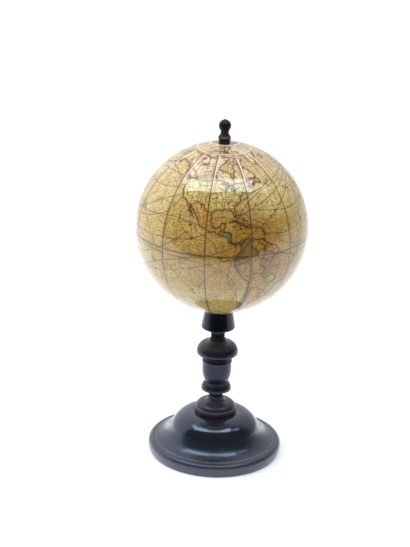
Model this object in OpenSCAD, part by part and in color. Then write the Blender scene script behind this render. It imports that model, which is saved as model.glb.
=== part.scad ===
// Small table globe on a turned, ebonised stand.
// A pasteboard ball, plastered and covered with twelve printed gores and two polar caps, turns on an
// iron axle that is driven into the stem and closed by a turned finial. Millimetres, +Z up, the origin
// at the middle of the underside of the base.

/* [Globe] */
// Diameter of the ball over its printed paper
globe_d = 120; // [110:1:130]
// Thickness of the printed paper
paper_t = 0.2; // [0.15:0.05:0.3]
// Thickness of the plaster coat under the paper
plaster_t = 1.2; // [0.8:0.1:2]
// Wall of the two pasteboard half shells
board_t = 2.6; // [2:0.1:4]
// Number of printed gores round the ball
gore_count = 12; // [12:1:12]
// Latitude at which the gores end and the polar caps begin, in degrees
cap_latitude = 71.5; // [68:0.5:75]
// Open joint between neighbouring papers, in degrees
paper_joint = 0.1; // [0.06:0.02:0.2]
// Turn of the first gore's western edge from +X, in degrees
first_gore = -100; // [-115:1:-85]
// Width of the linen tape over the joint of the half shells
tape_w = 14; // [8:1:20]
// Thickness of that tape
tape_t = 0.4; // [0.2:0.1:0.6]

/* [Inside the ball] */
// Diameter of the wooden block glued inside each pole
block_d = 30; // [26:1:34]
// Thickness of that block on the axis
block_h = 12; // [11:0.5:15]
// Diameter of the wooden post between the blocks
post_d = 11; // [10:0.5:14]
// Diameter of the tenon at each end of the post
post_tenon_d = 8; // [7:0.5:9]
// Length of that tenon
post_tenon_h = 4; // [3:0.5:5]
// Clear bore through the post
post_bore_d = 4.4; // [4:0.1:5]
// Distance of the tacks from the axis
tack_ring_r = 9; // [8:0.5:10]
// Number of tacks that hold a half shell to its block
tack_count = 4; // [3:1:6]

/* [Axle and bushes] */
// Diameter of the iron axle
axle_d = 3; // [2.5:0.1:3.5]
// Radial running clearance of the axle in the bushes
axle_clear = 0.05; // [0.03:0.01:0.08]
// Depth to which the axle is driven into the stem
axle_in_stem = 30; // [20:1:32]
// Depth to which the axle enters the finial
axle_in_finial = 7.3; // [5:0.1:8]
// Outer diameter of the bush shank
bush_d = 5.2; // [5:0.1:6]
// Outer diameter of the bush head
bush_head_d = 7.8; // [7:0.1:8.4]
// Height by which the head of the north bush stands out of the ball
bush_boss_h = 2.4; // [1.5:0.1:3]
// Thickness of the thrust washer under the ball
washer_t = 0.6; // [0.4:0.1:1]
// Diameter of that washer
washer_d = 9; // [8:0.5:12]
// End play below the ball
play_below = 0.1; // [0.05:0.05:0.2]
// End play above the ball
play_above = 0.3; // [0.1:0.05:0.5]

/* [Base] */
// Diameter of the base over its rim bead
base_d = 95; // [93:0.2:97]
// Diameter of the base where it stands on the table
base_floor_d = 92.6; // [91:0.2:92.8]
// Height of the base up to the foot of the stem
base_h = 30; // [29.6:0.1:30.4]
// Height of the widest line of the rim bead
rim_mid_z = 5.8; // [5.4:0.1:6.2]
// Radius of the upper half of the rim bead
rim_arc = 3.4; // [3:0.1:3.6]
// Radius of the dome above the hollow flare
dome_arc = 17.1; // [16.6:0.1:17.6]
// Depth of the recess turned into the underside
recess_h = 2.5; // [1:0.5:4]
// Diameter of that recess
recess_d = 82; // [70:1:86]
// Diameter of the stem's tenon in the base
tenon_d = 14; // [12:0.5:18]

/* [Stem] */
// Diameter of the foot disc
foot_d = 29.4; // [29:0.2:30.4]
// Height of the straight band of the foot disc
foot_band_h = 3.8; // [3.4:0.1:4.2]
// Radius of the arc over the foot disc
foot_arc = 6.3; // [6.1:0.1:6.5]
// Diameter of the lower neck
low_neck_d = 9.7; // [9.2:0.1:10]
// Radius of the ring knob's round side
ring_arc = 6.3; // [6.1:0.1:6.5]
// Diameter of the ring knob
ring_d = 21.4; // [21:0.1:22]
// Diameter of the vase at its rim
vase_d = 20.9; // [20.4:0.1:21.2]
// Height of the vase
vase_h = 16.3; // [16:0.1:17]
// Diameter of the mushroom knob
knob_d = 29.5; // [29:0.1:30]
// Radius of the arc over the mushroom knob
knob_arc = 7.3; // [7.1:0.1:7.5]
// Diameter of the upper neck
high_neck_d = 9.8; // [9:0.1:10.2]
// Diameter of the globe seat at its lower edge
seat_low_d = 24.2; // [23.8:0.1:24.6]
// Diameter of the globe seat at its upper rim
seat_high_d = 19.6; // [19.2:0.1:20.2]
// Height of the bottom of the seat's dish above the table
seat_z = 108.3; // [107.5:0.1:110]
// Gap between the dished seat and the ball
seat_gap = 0.6; // [0.4:0.1:0.8]

/* [Finial] */
// Diameter of the finial's foot
finial_foot_d = 8.7; // [8.4:0.1:9]
// Diameter of its neck
finial_neck_d = 5.6; // [5.2:0.1:6]
// Diameter of its ball
finial_ball_d = 8.4; // [8:0.1:8.8]
// Height of the finial
finial_h = 13.9; // [13.6:0.1:14.2]

/* [Hidden] */
$fn = 120;
ARC_STEPS = 12;
OVER = 1;

// Radii of the layers of the ball, from the paper inwards
paper_r = globe_d / 2;
plaster_r = paper_r - paper_t;
board_r = plaster_r - plaster_t;
inner_r = board_r - board_t;

// Heights along the axis
globe_z = seat_z + washer_t + play_below + paper_r;
boss_z = globe_z + paper_r + bush_boss_h;
finial_z = boss_z + play_above;
block_z = inner_r - block_h;

// Tack: head, shank and how far the shank goes in
tack_head_r = 1.6;
tack_head_t = 0.5;
tack_shank_r = 0.55;
tack_l = 8;
tack_tilt = asin(tack_ring_r / board_r);

// Torn patch round the north pole, as circles: x, y and radius
TORN = [[0, 2.4, 7.0], [-5.2, 2.9, 4.3], [5.0, 3.0, 4.6], [2.6, -0.6, 4.6], [-1.8, -0.3, 4.4],
    [-2.5, 6.6, 4.0], [3.2, 7.2, 3.6]];

// Points along an arc round c, from one angle to another
function arc(c, r, from, to) = [for (i = [0:ARC_STEPS])
    c + r * [cos(from + (to - from) * i / ARC_STEPS), sin(from + (to - from) * i / ARC_STEPS)]];

// Bore along the axis from one height to another
module bore(d, from, to) { translate([0, 0, from]) cylinder(d = d, h = to - from); }

// Part of a spherical layer between two latitudes, as a flat section; it keeps to one side of the axis
module layer_section(r_out, r_in, lat_low, lat_high) {
    reach = 2 * r_out;
    intersection() {
        difference() { circle(r = r_out); circle(r = r_in); }
        intersection() {
            translate([0, -r_out]) square([r_out, 2 * r_out]);
            polygon(concat([[0, 0]], [for (i = [0:2]) reach * [
                cos(lat_low + (lat_high - lat_low) * i / 2), sin(lat_low + (lat_high - lat_low) * i / 2)]]));
        }
    }
}

// Base: rim bead, hollow flare and dome, turned in one piece over a shallow recess. The flare is part
// of the circle that touches both the dome and the level of the top of the rim.
rim_r = base_d / 2;
rim_foot_r = base_floor_d / 2;
rim_low_arc = ((rim_r - rim_foot_r) ^ 2 + rim_mid_z ^ 2) / (2 * (rim_r - rim_foot_r));
rim_top_z = rim_mid_z + rim_arc;
quirk_r = rim_r - rim_arc - 0.9;
quirk_h = 0.7;
step_r = 15.6;
dome_c = [step_r, base_h - dome_arc];
flare_x = quirk_r + 2.7;
flare_arc = ((flare_x - step_r) ^ 2 + (rim_top_z - dome_c[1]) ^ 2 - dome_arc ^ 2)
    / (2 * (dome_arc + dome_c[1] - rim_top_z));
flare_c = [flare_x, rim_top_z + flare_arc];
slope = atan2(flare_c[1] - dome_c[1], flare_c[0] - dome_c[0]);
recess_slope = 1;

module base_outline() polygon(concat(
    [[tenon_d / 2, recess_h], [recess_d / 2 - recess_slope, recess_h], [recess_d / 2, 0]],
    arc([rim_r - rim_low_arc, rim_mid_z], rim_low_arc, -asin(rim_mid_z / rim_low_arc), 0),
    arc([rim_r - rim_arc, rim_mid_z], rim_arc, 0, 100),
    [[quirk_r + 0.1, rim_top_z - quirk_h]],
    arc(flare_c, flare_arc, -90 - asin((flare_x - quirk_r) / flare_arc), slope - 180),
    arc(dome_c, dome_arc, slope, 90),
    [[tenon_d / 2, base_h]]));

module base_foot() color([0.06, 0.055, 0.055]) rotate_extrude() base_outline();

// Stem: foot disc, lower neck with a bead, ring knob, vase, mushroom knob, upper neck and globe seat
foot_r = foot_d / 2;
foot_top_z = base_h + foot_band_h;
foot_mid_h = 1.7;
foot_from = asin((foot_band_h - foot_mid_h) / foot_arc);
foot_c = [foot_r - 0.15 - foot_arc * cos(foot_from), base_h + foot_mid_h];
low_neck_r = low_neck_d / 2;
fillet_r = 5.5;
foot_cove = foot_c[0] - fillet_r;
low_neck_z = foot_c[1] + foot_arc + foot_cove;
bead_r = 0.35;
bead_z = low_neck_z + 3.6;
ring_z = low_neck_z + 6.2;
ring_h = 5.8;
ring_c = [ring_d / 2 - ring_arc, ring_z + 0.6];
vase_r = vase_d / 2;
vase_z = ring_z + ring_h + 0.3;
vase_foot_r = 7.6;
vase_arc = 19.2;
vase_c = [vase_r - 0.13 - vase_arc, vase_z + 9.1];
vase_top = vase_z + vase_h;
vase_lip = 0.15;
cove_arc = 2.3;
cove_x = 8.4;
knob_r = knob_d / 2;
knob_z = vase_top + 2 * cove_arc;
knob_edge = 1.85;
knob_c = [knob_r - knob_arc, knob_z + knob_edge + 0.1];
high_neck_r = high_neck_d / 2;
collar_r = high_neck_r + 0.4;
seat_low_z = 94.5;
seat_cove = 1.8;
seat_low_edge = 1.2;
seat_edge = 0.6;
seat_rim_r = seat_high_d / 2 - seat_edge;
seat_dish = paper_r + seat_gap;
seat_rim_z = globe_z - sqrt(seat_dish ^ 2 - seat_rim_r ^ 2);
washer_seat_r = washer_d / 2 + 0.5;

module stem_outline() polygon(concat(
    [[0, recess_h + 0.5], [tenon_d / 2, recess_h + 0.5], [tenon_d / 2, base_h],
        [foot_r, base_h], [foot_r, foot_top_z - 1.3]],
    arc([foot_r, foot_top_z - 0.8], 0.3, -90, 90),
    [[foot_r - 0.1, foot_top_z - 0.3], [foot_r - 0.1, foot_top_z]],
    arc(foot_c, foot_arc, foot_from, 90),
    arc([foot_c[0], low_neck_z], foot_cove, -90, -180),
    [[low_neck_r, low_neck_z + 0.3], [low_neck_r, bead_z - bead_r]],
    arc([low_neck_r + 0.1, bead_z], bead_r, -90, 90),
    [[low_neck_r, bead_z + bead_r], [low_neck_r, ring_z - 0.8], [low_neck_r + 0.5, ring_z - 0.4],
        [low_neck_r + 0.5, ring_z]],
    arc(ring_c, ring_arc, -asin((ring_c[1] - ring_z) / ring_arc), asin((ring_z + ring_h - ring_c[1]) / ring_arc)),
    [[vase_foot_r, ring_z + ring_h], [vase_foot_r, vase_z]],
    arc(vase_c, vase_arc, -asin((vase_c[1] - vase_z) / vase_arc), 0),
    [[vase_r, vase_top - 0.7], [vase_r + vase_lip, vase_top - 0.5], [vase_r + vase_lip, vase_top - 0.2],
        [vase_r - vase_lip, vase_top]],
    arc([cove_x, vase_top + cove_arc], cove_arc, -90, -270),
    arc([knob_r - knob_edge, knob_z + knob_edge], knob_edge, -90, 0),
    arc(knob_c, knob_arc, 0, 90),
    [[high_neck_r + 0.5, knob_c[1] + knob_arc + 0.1], [high_neck_r, knob_c[1] + knob_arc + 0.6],
        [high_neck_r, seat_low_z - 3.2], [collar_r, seat_low_z - 2.9]],
    arc([collar_r + seat_cove, seat_low_z - 2.2], seat_cove, 180, 90),
    arc([seat_low_d / 2 - seat_low_edge, seat_low_z + seat_low_edge], seat_low_edge, -90, -10),
    arc([seat_rim_r, seat_rim_z - seat_edge], seat_edge, 10, 90),
    arc([0, globe_z], seat_dish, asin(seat_rim_r / seat_dish) - 90, asin(washer_seat_r / seat_dish) - 90),
    [[washer_seat_r, seat_z], [0, seat_z]]));

module stem_column() color([0.055, 0.05, 0.055]) difference() {
    rotate_extrude() stem_outline();
    bore(axle_d, seat_z - axle_in_stem, seat_z + OVER);
}

module axle_rod() color([0.42, 0.41, 0.4])
    bore(axle_d, seat_z - axle_in_stem, finial_z + axle_in_finial);

module thrust_washer() color([0.72, 0.58, 0.3]) difference() {
    bore(washer_d, seat_z, seat_z + washer_t);
    bore(axle_d + 0.4, seat_z - OVER, seat_z + washer_t + OVER);
}

// Finial: a pawn with a grooved foot, a hollow neck, a ball and a small nib on top
pawn_foot_r = finial_foot_d / 2;
pawn_neck_r = finial_neck_d / 2;
pawn_ball_r = finial_ball_d / 2;
nib_h = 0.3;
nib_r = 0.8;
pawn_ball_z = finial_z + finial_h - nib_h - pawn_ball_r;
pawn_neck_z = finial_z + 4.9;
pawn_drop = pawn_ball_z - pawn_neck_z;
pawn_neck_arc = (pawn_neck_r ^ 2 + pawn_drop ^ 2 - pawn_ball_r ^ 2) / (2 * (pawn_ball_r - pawn_neck_r));
pawn_meet = atan2(pawn_drop, pawn_neck_r + pawn_neck_arc);
pawn_shoulder_z = finial_z + 2.3;

module finial_outline() polygon(concat(
    [[0, finial_z], [pawn_foot_r - 0.3, finial_z], [pawn_foot_r, finial_z + 0.3],
        [pawn_foot_r, finial_z + 1.4], [pawn_foot_r - 0.35, finial_z + 1.6],
        [pawn_foot_r - 0.35, finial_z + 1.8], [pawn_foot_r - 0.2, finial_z + 2]],
    arc([pawn_neck_r + pawn_neck_arc, pawn_neck_z], pawn_neck_arc,
        180 + asin((pawn_neck_z - pawn_shoulder_z) / pawn_neck_arc), 180 - pawn_meet),
    arc([0, pawn_ball_z], pawn_ball_r, -pawn_meet, acos(nib_r / pawn_ball_r)),
    [[nib_r - 0.1, finial_z + finial_h - 0.1], [nib_r - 0.3, finial_z + finial_h], [0, finial_z + finial_h]]));

module finial() color([0.13, 0.1, 0.095]) difference() {
    rotate_extrude() finial_outline();
    bore(axle_d, finial_z - OVER, finial_z + axle_in_finial);
}

// North side is +1 and south side is -1; children are drawn about the middle of the ball
module at_pole(side) translate([0, 0, globe_z]) mirror([0, 0, side < 0 ? 1 : 0]) children();

module tacks(head_r, grow) for (i = [0:tack_count - 1])
    rotate([0, 0, 45 + i * 360 / tack_count]) rotate([0, tack_tilt, 0]) {
        translate([0, 0, board_r - tack_l]) cylinder(r = tack_shank_r, h = tack_l + tack_head_t / 2);
        translate([0, 0, board_r - grow]) cylinder(r = head_r, h = tack_head_t + grow);
    }

module core_post() color([0.76, 0.6, 0.4]) translate([0, 0, globe_z]) difference() {
    union() {
        bore(post_d, -block_z, block_z);
        bore(post_tenon_d, -block_z - post_tenon_h, block_z + post_tenon_h);
    }
    bore(post_bore_d, -paper_r, paper_r);
}

module pole_block(side) color([0.72, 0.55, 0.36]) at_pole(side) difference() {
    rotate_extrude() intersection() {
        circle(r = inner_r);
        translate([0, block_z]) square([block_d / 2, block_h + OVER]);
    }
    bore(post_tenon_d, block_z - OVER, block_z + post_tenon_h);
    bore(bush_d, block_z, paper_r);
    tacks(tack_shank_r, 0);
}

module pole_bush(side, top) color([0.66, 0.53, 0.3]) at_pole(side) difference() {
    union() {
        bore(bush_d, block_z + post_tenon_h, board_r);
        bore(bush_head_d, board_r, top);
    }
    bore(axle_d + 2 * axle_clear, 0, top + OVER);
}

module pole_tacks(side) color([0.4, 0.4, 0.42]) at_pole(side) tacks(tack_head_r, 0);

module half_shell(side) color([0.62, 0.6, 0.55]) at_pole(side) difference() {
    rotate_extrude() difference() {
        layer_section(board_r, inner_r, 0, 90);
        intersection() {
            layer_section(board_r + OVER, board_r - tape_t, 0, 90);
            square([paper_r, tape_w / 2]);
        }
    }
    bore(bush_d, 0, paper_r);
    tacks(tack_shank_r, 0);
}

module seam_tape() color([0.82, 0.78, 0.66]) translate([0, 0, globe_z]) rotate_extrude() intersection() {
    layer_section(board_r, board_r - tape_t, -45, 45);
    translate([0, -tape_w / 2]) square([paper_r, tape_w]);
}

module plaster_coat() color([0.8, 0.8, 0.77]) difference() {
    translate([0, 0, globe_z]) rotate_extrude() layer_section(plaster_r, board_r, -90, 90);
    translate([0, 0, globe_z]) bore(bush_head_d, -paper_r - OVER, paper_r + OVER);
    for (side = [-1, 1]) at_pole(side) tacks(tack_head_r, 0.1);
}

// One printed gore, counted eastwards from the one that faces the front
module gore(i) color([0.84, 0.77, 0.55]) translate([0, 0, globe_z])
    rotate([0, 0, first_gore + (i - 1) * 360 / gore_count + paper_joint / 2])
        rotate_extrude(angle = 360 / gore_count - paper_joint)
            layer_section(paper_r, plaster_r, -cap_latitude, cap_latitude);

module cap_sheet(side) at_pole(side) rotate_extrude()
    layer_section(paper_r, plaster_r, cap_latitude + paper_joint, 90);

module south_polar_cap() color([0.84, 0.77, 0.58]) difference() {
    cap_sheet(-1);
    bore(bush_head_d, seat_z, globe_z);
}

module north_polar_cap() color([0.85, 0.77, 0.6]) difference() {
    cap_sheet(1);
    translate([0, 0, globe_z]) linear_extrude(paper_r + OVER)
        for (c = TORN) translate([c[0], c[1]]) circle(r = c[2]);
}

base_foot();
stem_column();
axle_rod();
thrust_washer();
finial();
core_post();
pole_block(-1);  // south_pole_block
pole_block(1);  // north_pole_block
pole_bush(-1, paper_r);  // south_pole_bush
pole_bush(1, paper_r + bush_boss_h);  // north_pole_bush
pole_tacks(-1);  // south_pole_tacks
pole_tacks(1);  // north_pole_tacks
half_shell(-1);  // south_half_shell
half_shell(1);  // north_half_shell
seam_tape();
plaster_coat();
gore(1);  // gore_01
gore(2);  // gore_02
gore(3);  // gore_03
gore(4);  // gore_04
gore(5);  // gore_05
gore(6);  // gore_06
gore(7);  // gore_07
gore(8);  // gore_08
gore(9);  // gore_09
gore(10);  // gore_10
gore(11);  // gore_11
gore(12);  // gore_12
south_polar_cap();
north_polar_cap();
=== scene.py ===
"""A small table globe: printed paper gores on a plastered ball, on a turned, ebonised stand.

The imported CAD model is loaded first, in metres, with +Z up and the origin under the base. The operators below
dress it piece by piece and set up the stage. Sizes and colours sit in the property groups.
"""

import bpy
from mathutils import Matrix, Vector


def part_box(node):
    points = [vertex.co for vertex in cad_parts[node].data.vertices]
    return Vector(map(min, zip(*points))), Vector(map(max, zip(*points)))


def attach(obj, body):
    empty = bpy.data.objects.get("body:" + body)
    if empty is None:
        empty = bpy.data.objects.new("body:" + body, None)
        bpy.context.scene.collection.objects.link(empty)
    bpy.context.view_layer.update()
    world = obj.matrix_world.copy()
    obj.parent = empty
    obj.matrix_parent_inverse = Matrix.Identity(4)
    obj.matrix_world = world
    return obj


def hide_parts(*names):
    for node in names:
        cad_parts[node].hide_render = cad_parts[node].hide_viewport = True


bl_info = {
    "name": "Terrestrial Globe",
    "version": (1, 0, 0),
    "blender": (4, 5, 0),
    "location": "3D View > Sidebar > Globe",
    "description": "Dresses a small table globe: turned stand, printed gores, polar caps and studio stage",
    "category": "Object",
}

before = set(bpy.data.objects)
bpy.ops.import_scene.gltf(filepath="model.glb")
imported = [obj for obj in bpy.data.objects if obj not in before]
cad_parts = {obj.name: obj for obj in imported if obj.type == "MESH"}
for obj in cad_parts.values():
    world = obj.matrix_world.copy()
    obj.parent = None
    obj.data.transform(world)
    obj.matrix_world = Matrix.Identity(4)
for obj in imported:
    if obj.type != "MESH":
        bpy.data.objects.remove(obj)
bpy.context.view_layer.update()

from functools import cache, reduce
from itertools import accumulate
from math import acos, asin, atan2, cos, degrees, pi, radians, sin, sqrt
from types import SimpleNamespace

import bpy
import numpy as np
from bpy.props import FloatProperty, FloatVectorProperty, IntProperty, PointerProperty
from mathutils import Matrix

BALL_LOW, BALL_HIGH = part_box("plaster_coat")
NORTH_BOSS_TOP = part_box("north_pole_bush")[1].z
SEED = 12


# Short forms for the properties below


def length(name, description, default):
    return FloatProperty(name=name, description=description, default=default, unit="LENGTH", precision=5)


def angle(name, description, default):
    return FloatProperty(name=name, description=description, default=radians(default), subtype="ANGLE")


def colour(name, description, default):
    return FloatVectorProperty(name=name, description=description, default=default, subtype="COLOR", min=0, max=1)


class BallSizes(bpy.types.PropertyGroup):
    """Sizes of the ball and of the papers on it"""
    radius: length("Ball Radius", "Radius over the printed paper", 0.06)
    height: length("Ball Height", "Height of the middle of the ball", (BALL_LOW.z + BALL_HIGH.z) / 2)
    paper: length("Paper Thickness", "Thickness of the printed paper", 0.0002)
    cap_edge: angle("Cap Latitude", "Latitude where the gores end and the polar caps begin", 71.5)
    first_gore: angle("First Gore", "Western edge of the first gore, from +X", -100)
    paper_joint: angle("Open Joint", "Open joint between neighbouring papers", 0.1)
    boss: length("Boss Radius", "Radius of the bush that stands in each pole", 0.0039)
    gores: IntProperty(name="Gores", description="Number of printed gores round the ball", default=12)


class StandSizes(bpy.types.PropertyGroup):
    """Sizes of the turned stand and finial"""
    base_d: length("Base Diameter", "Base over its rim bead", 0.095)
    base_floor_d: length("Floor Diameter", "Base where it stands on the table", 0.0926)
    base_h: length("Base Height", "Base up to the foot of the stem", 0.03)
    rim_mid_z: length("Rim Height", "Height of the widest line of the rim", 0.0058)
    rim_arc: length("Rim Arc", "Radius of the upper half of the rim bead", 0.0034)
    dome_arc: length("Dome Arc", "Radius of the dome", 0.0171)
    recess_h: length("Recess Depth", "Recess turned into the underside", 0.0025)
    recess_d: length("Recess Diameter", "Diameter of that recess", 0.082)
    tenon_d: length("Tenon Diameter", "Stem's tenon in the base", 0.014)
    foot_d: length("Foot Diameter", "Foot disc of the stem", 0.0294)
    foot_band_h: length("Foot Band", "Straight band of the foot disc", 0.0038)
    foot_arc: length("Foot Arc", "Arc over the foot disc", 0.0063)
    low_neck_d: length("Lower Neck", "Diameter of the lower neck", 0.0097)
    ring_arc: length("Ring Arc", "Round side of the ring knob", 0.0063)
    ring_d: length("Ring Diameter", "Diameter of the ring knob", 0.0214)
    vase_d: length("Vase Diameter", "Vase at its rim", 0.0209)
    vase_h: length("Vase Height", "Height of the vase", 0.0163)
    knob_d: length("Knob Diameter", "Diameter of the mushroom knob", 0.0295)
    knob_arc: length("Knob Arc", "Arc over the mushroom knob", 0.0073)
    high_neck_d: length("Upper Neck", "Diameter of the upper neck", 0.0098)
    seat_low_d: length("Seat Foot", "Globe seat at its lower edge", 0.0242)
    seat_high_d: length("Seat Rim", "Globe seat at its upper rim", 0.0196)
    seat_z: length("Seat Height", "Bottom of the seat's dish", 0.1083)
    seat_gap: length("Seat Gap", "Gap between the dish and the ball", 0.0006)
    washer_d: length("Washer Diameter", "Diameter of the thrust washer", 0.009)
    axle_d: length("Axle Diameter", "Diameter of the iron axle", 0.003)
    axle_in_stem: length("Axle in Stem", "How deep the axle is driven into the stem", 0.03)
    axle_in_finial: length("Axle in Finial", "How deep the axle enters the finial", 0.0073)
    play_above: length("Play Above", "End play between the boss and the finial", 0.0003)
    finial_foot_d: length("Finial Foot", "Diameter of the finial's foot", 0.0087)
    finial_neck_d: length("Finial Neck", "Diameter of the finial's neck", 0.0056)
    finial_ball_d: length("Finial Ball", "Diameter of the finial's ball", 0.0084)
    finial_h: length("Finial Height", "Height of the finial", 0.0139)


class PrintColours(bpy.types.PropertyGroup):
    """Colours of the printed and varnished paper"""
    paper: colour("Paper", "Varnished paper where it is palest", (0.87, 0.645, 0.212))
    varnish: colour("Old Varnish", "Paper under the darkest varnish", (0.475, 0.245, 0.025))
    stain: colour("Joint Stain", "Brown stain beside the joints", (0.30, 0.12, 0.018))
    ink: colour("Ink", "Printing ink", (0.046, 0.022, 0.010))
    # Also the colour of the painted shadow under the caps' edges
    grime_and_painted_shadow: colour("Grime", "Dirt in the joints of the papers", (0.10, 0.050, 0.022))
    body: colour("Hand Colour", "Pale body colour laid on the lands", (0.98, 0.84, 0.62))
    # Also the colour of the painted highlight along the caps' edges
    torn: colour("Torn Edge", "Raw paper where it is torn", (0.86, 0.68, 0.52))


class StandColours(bpy.types.PropertyGroup):
    """Colours of the stand and its fittings"""
    ebony: colour("Ebonised Wood", "Black polish on the stem", (0.0025, 0.0028, 0.0042))
    # Black polish with painted blue sheen: lighter and bluer than the same polish on the stem
    base_ebony_and_sheen: colour("Ebonised Base", "Black polish on the base", (0.007, 0.010, 0.018))
    rim: colour("Rim", "Greyed polish on the rim bead", (0.042, 0.038, 0.050))
    foot_band: colour("Foot Band", "Browned polish on the band of the foot disc", (0.026, 0.008, 0.008))
    rubbed: colour("Rubbed Wood", "Wood that shows where the polish is worn", (0.050, 0.026, 0.022))
    sheen: colour("Sheen", "Tint of the reflections in the black polish", (0.52, 0.64, 1.0))
    finial: colour("Finial Wood", "Polished brown wood of the finial", (0.011, 0.0055, 0.004))
    # Dust in quirks and nicks, also the colour of the painted highlight lines and of the painted sheen on faces that
    # look up
    dust_and_painted_light: colour("Dust", "Dust in the quirks", (0.20, 0.20, 0.22))
    plaster: colour("Plaster", "Plaster under the paper", (0.50, 0.48, 0.46))


class StageSettings(bpy.types.PropertyGroup):
    """Camera, floor and light"""
    distance: length("Camera Distance", "Distance of the camera in front of the axis", 1.046)
    eye: length("Camera Height", "Height of the camera above the table", 0.534)
    pitch: angle("Camera Pitch", "How far the camera looks down", 20.91)
    yaw: angle("Camera Turn", "How far the camera is turned to the left", 0.57)
    roll: angle("Camera Roll", "Roll of the camera about its line of sight", 1.75)
    lens: FloatProperty(name="Lens", description="Focal length in mm on a 36 mm long side", default=106.03)
    floor: colour("Floor", "Colour of the floor", (0.72, 0.73, 0.74))
    glow: colour("Glow", "Colour of the light that the floor gives back", (0.94, 0.98, 1))
    room: colour("Room", "Colour of the room", (0.97, 0.99, 1))
    lamps: colour("Lamps", "Colour of the softboxes", (0.84, 0.94, 1))
    softbox_height: length("Softbox Height", "Height of the softboxes over the table", 1.1)
    floor_front: length("Floor Front", "How far the white floor reaches in front of the globe", 0.38)


def in_mm(group):
    """The lengths of a property group, in millimetres."""
    return SimpleNamespace(**{k: getattr(group, k) * 1000 for k in group.__annotations__})


# The map, as "longitude,latitude" in degrees, with a semicolon between one line and the next

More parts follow.
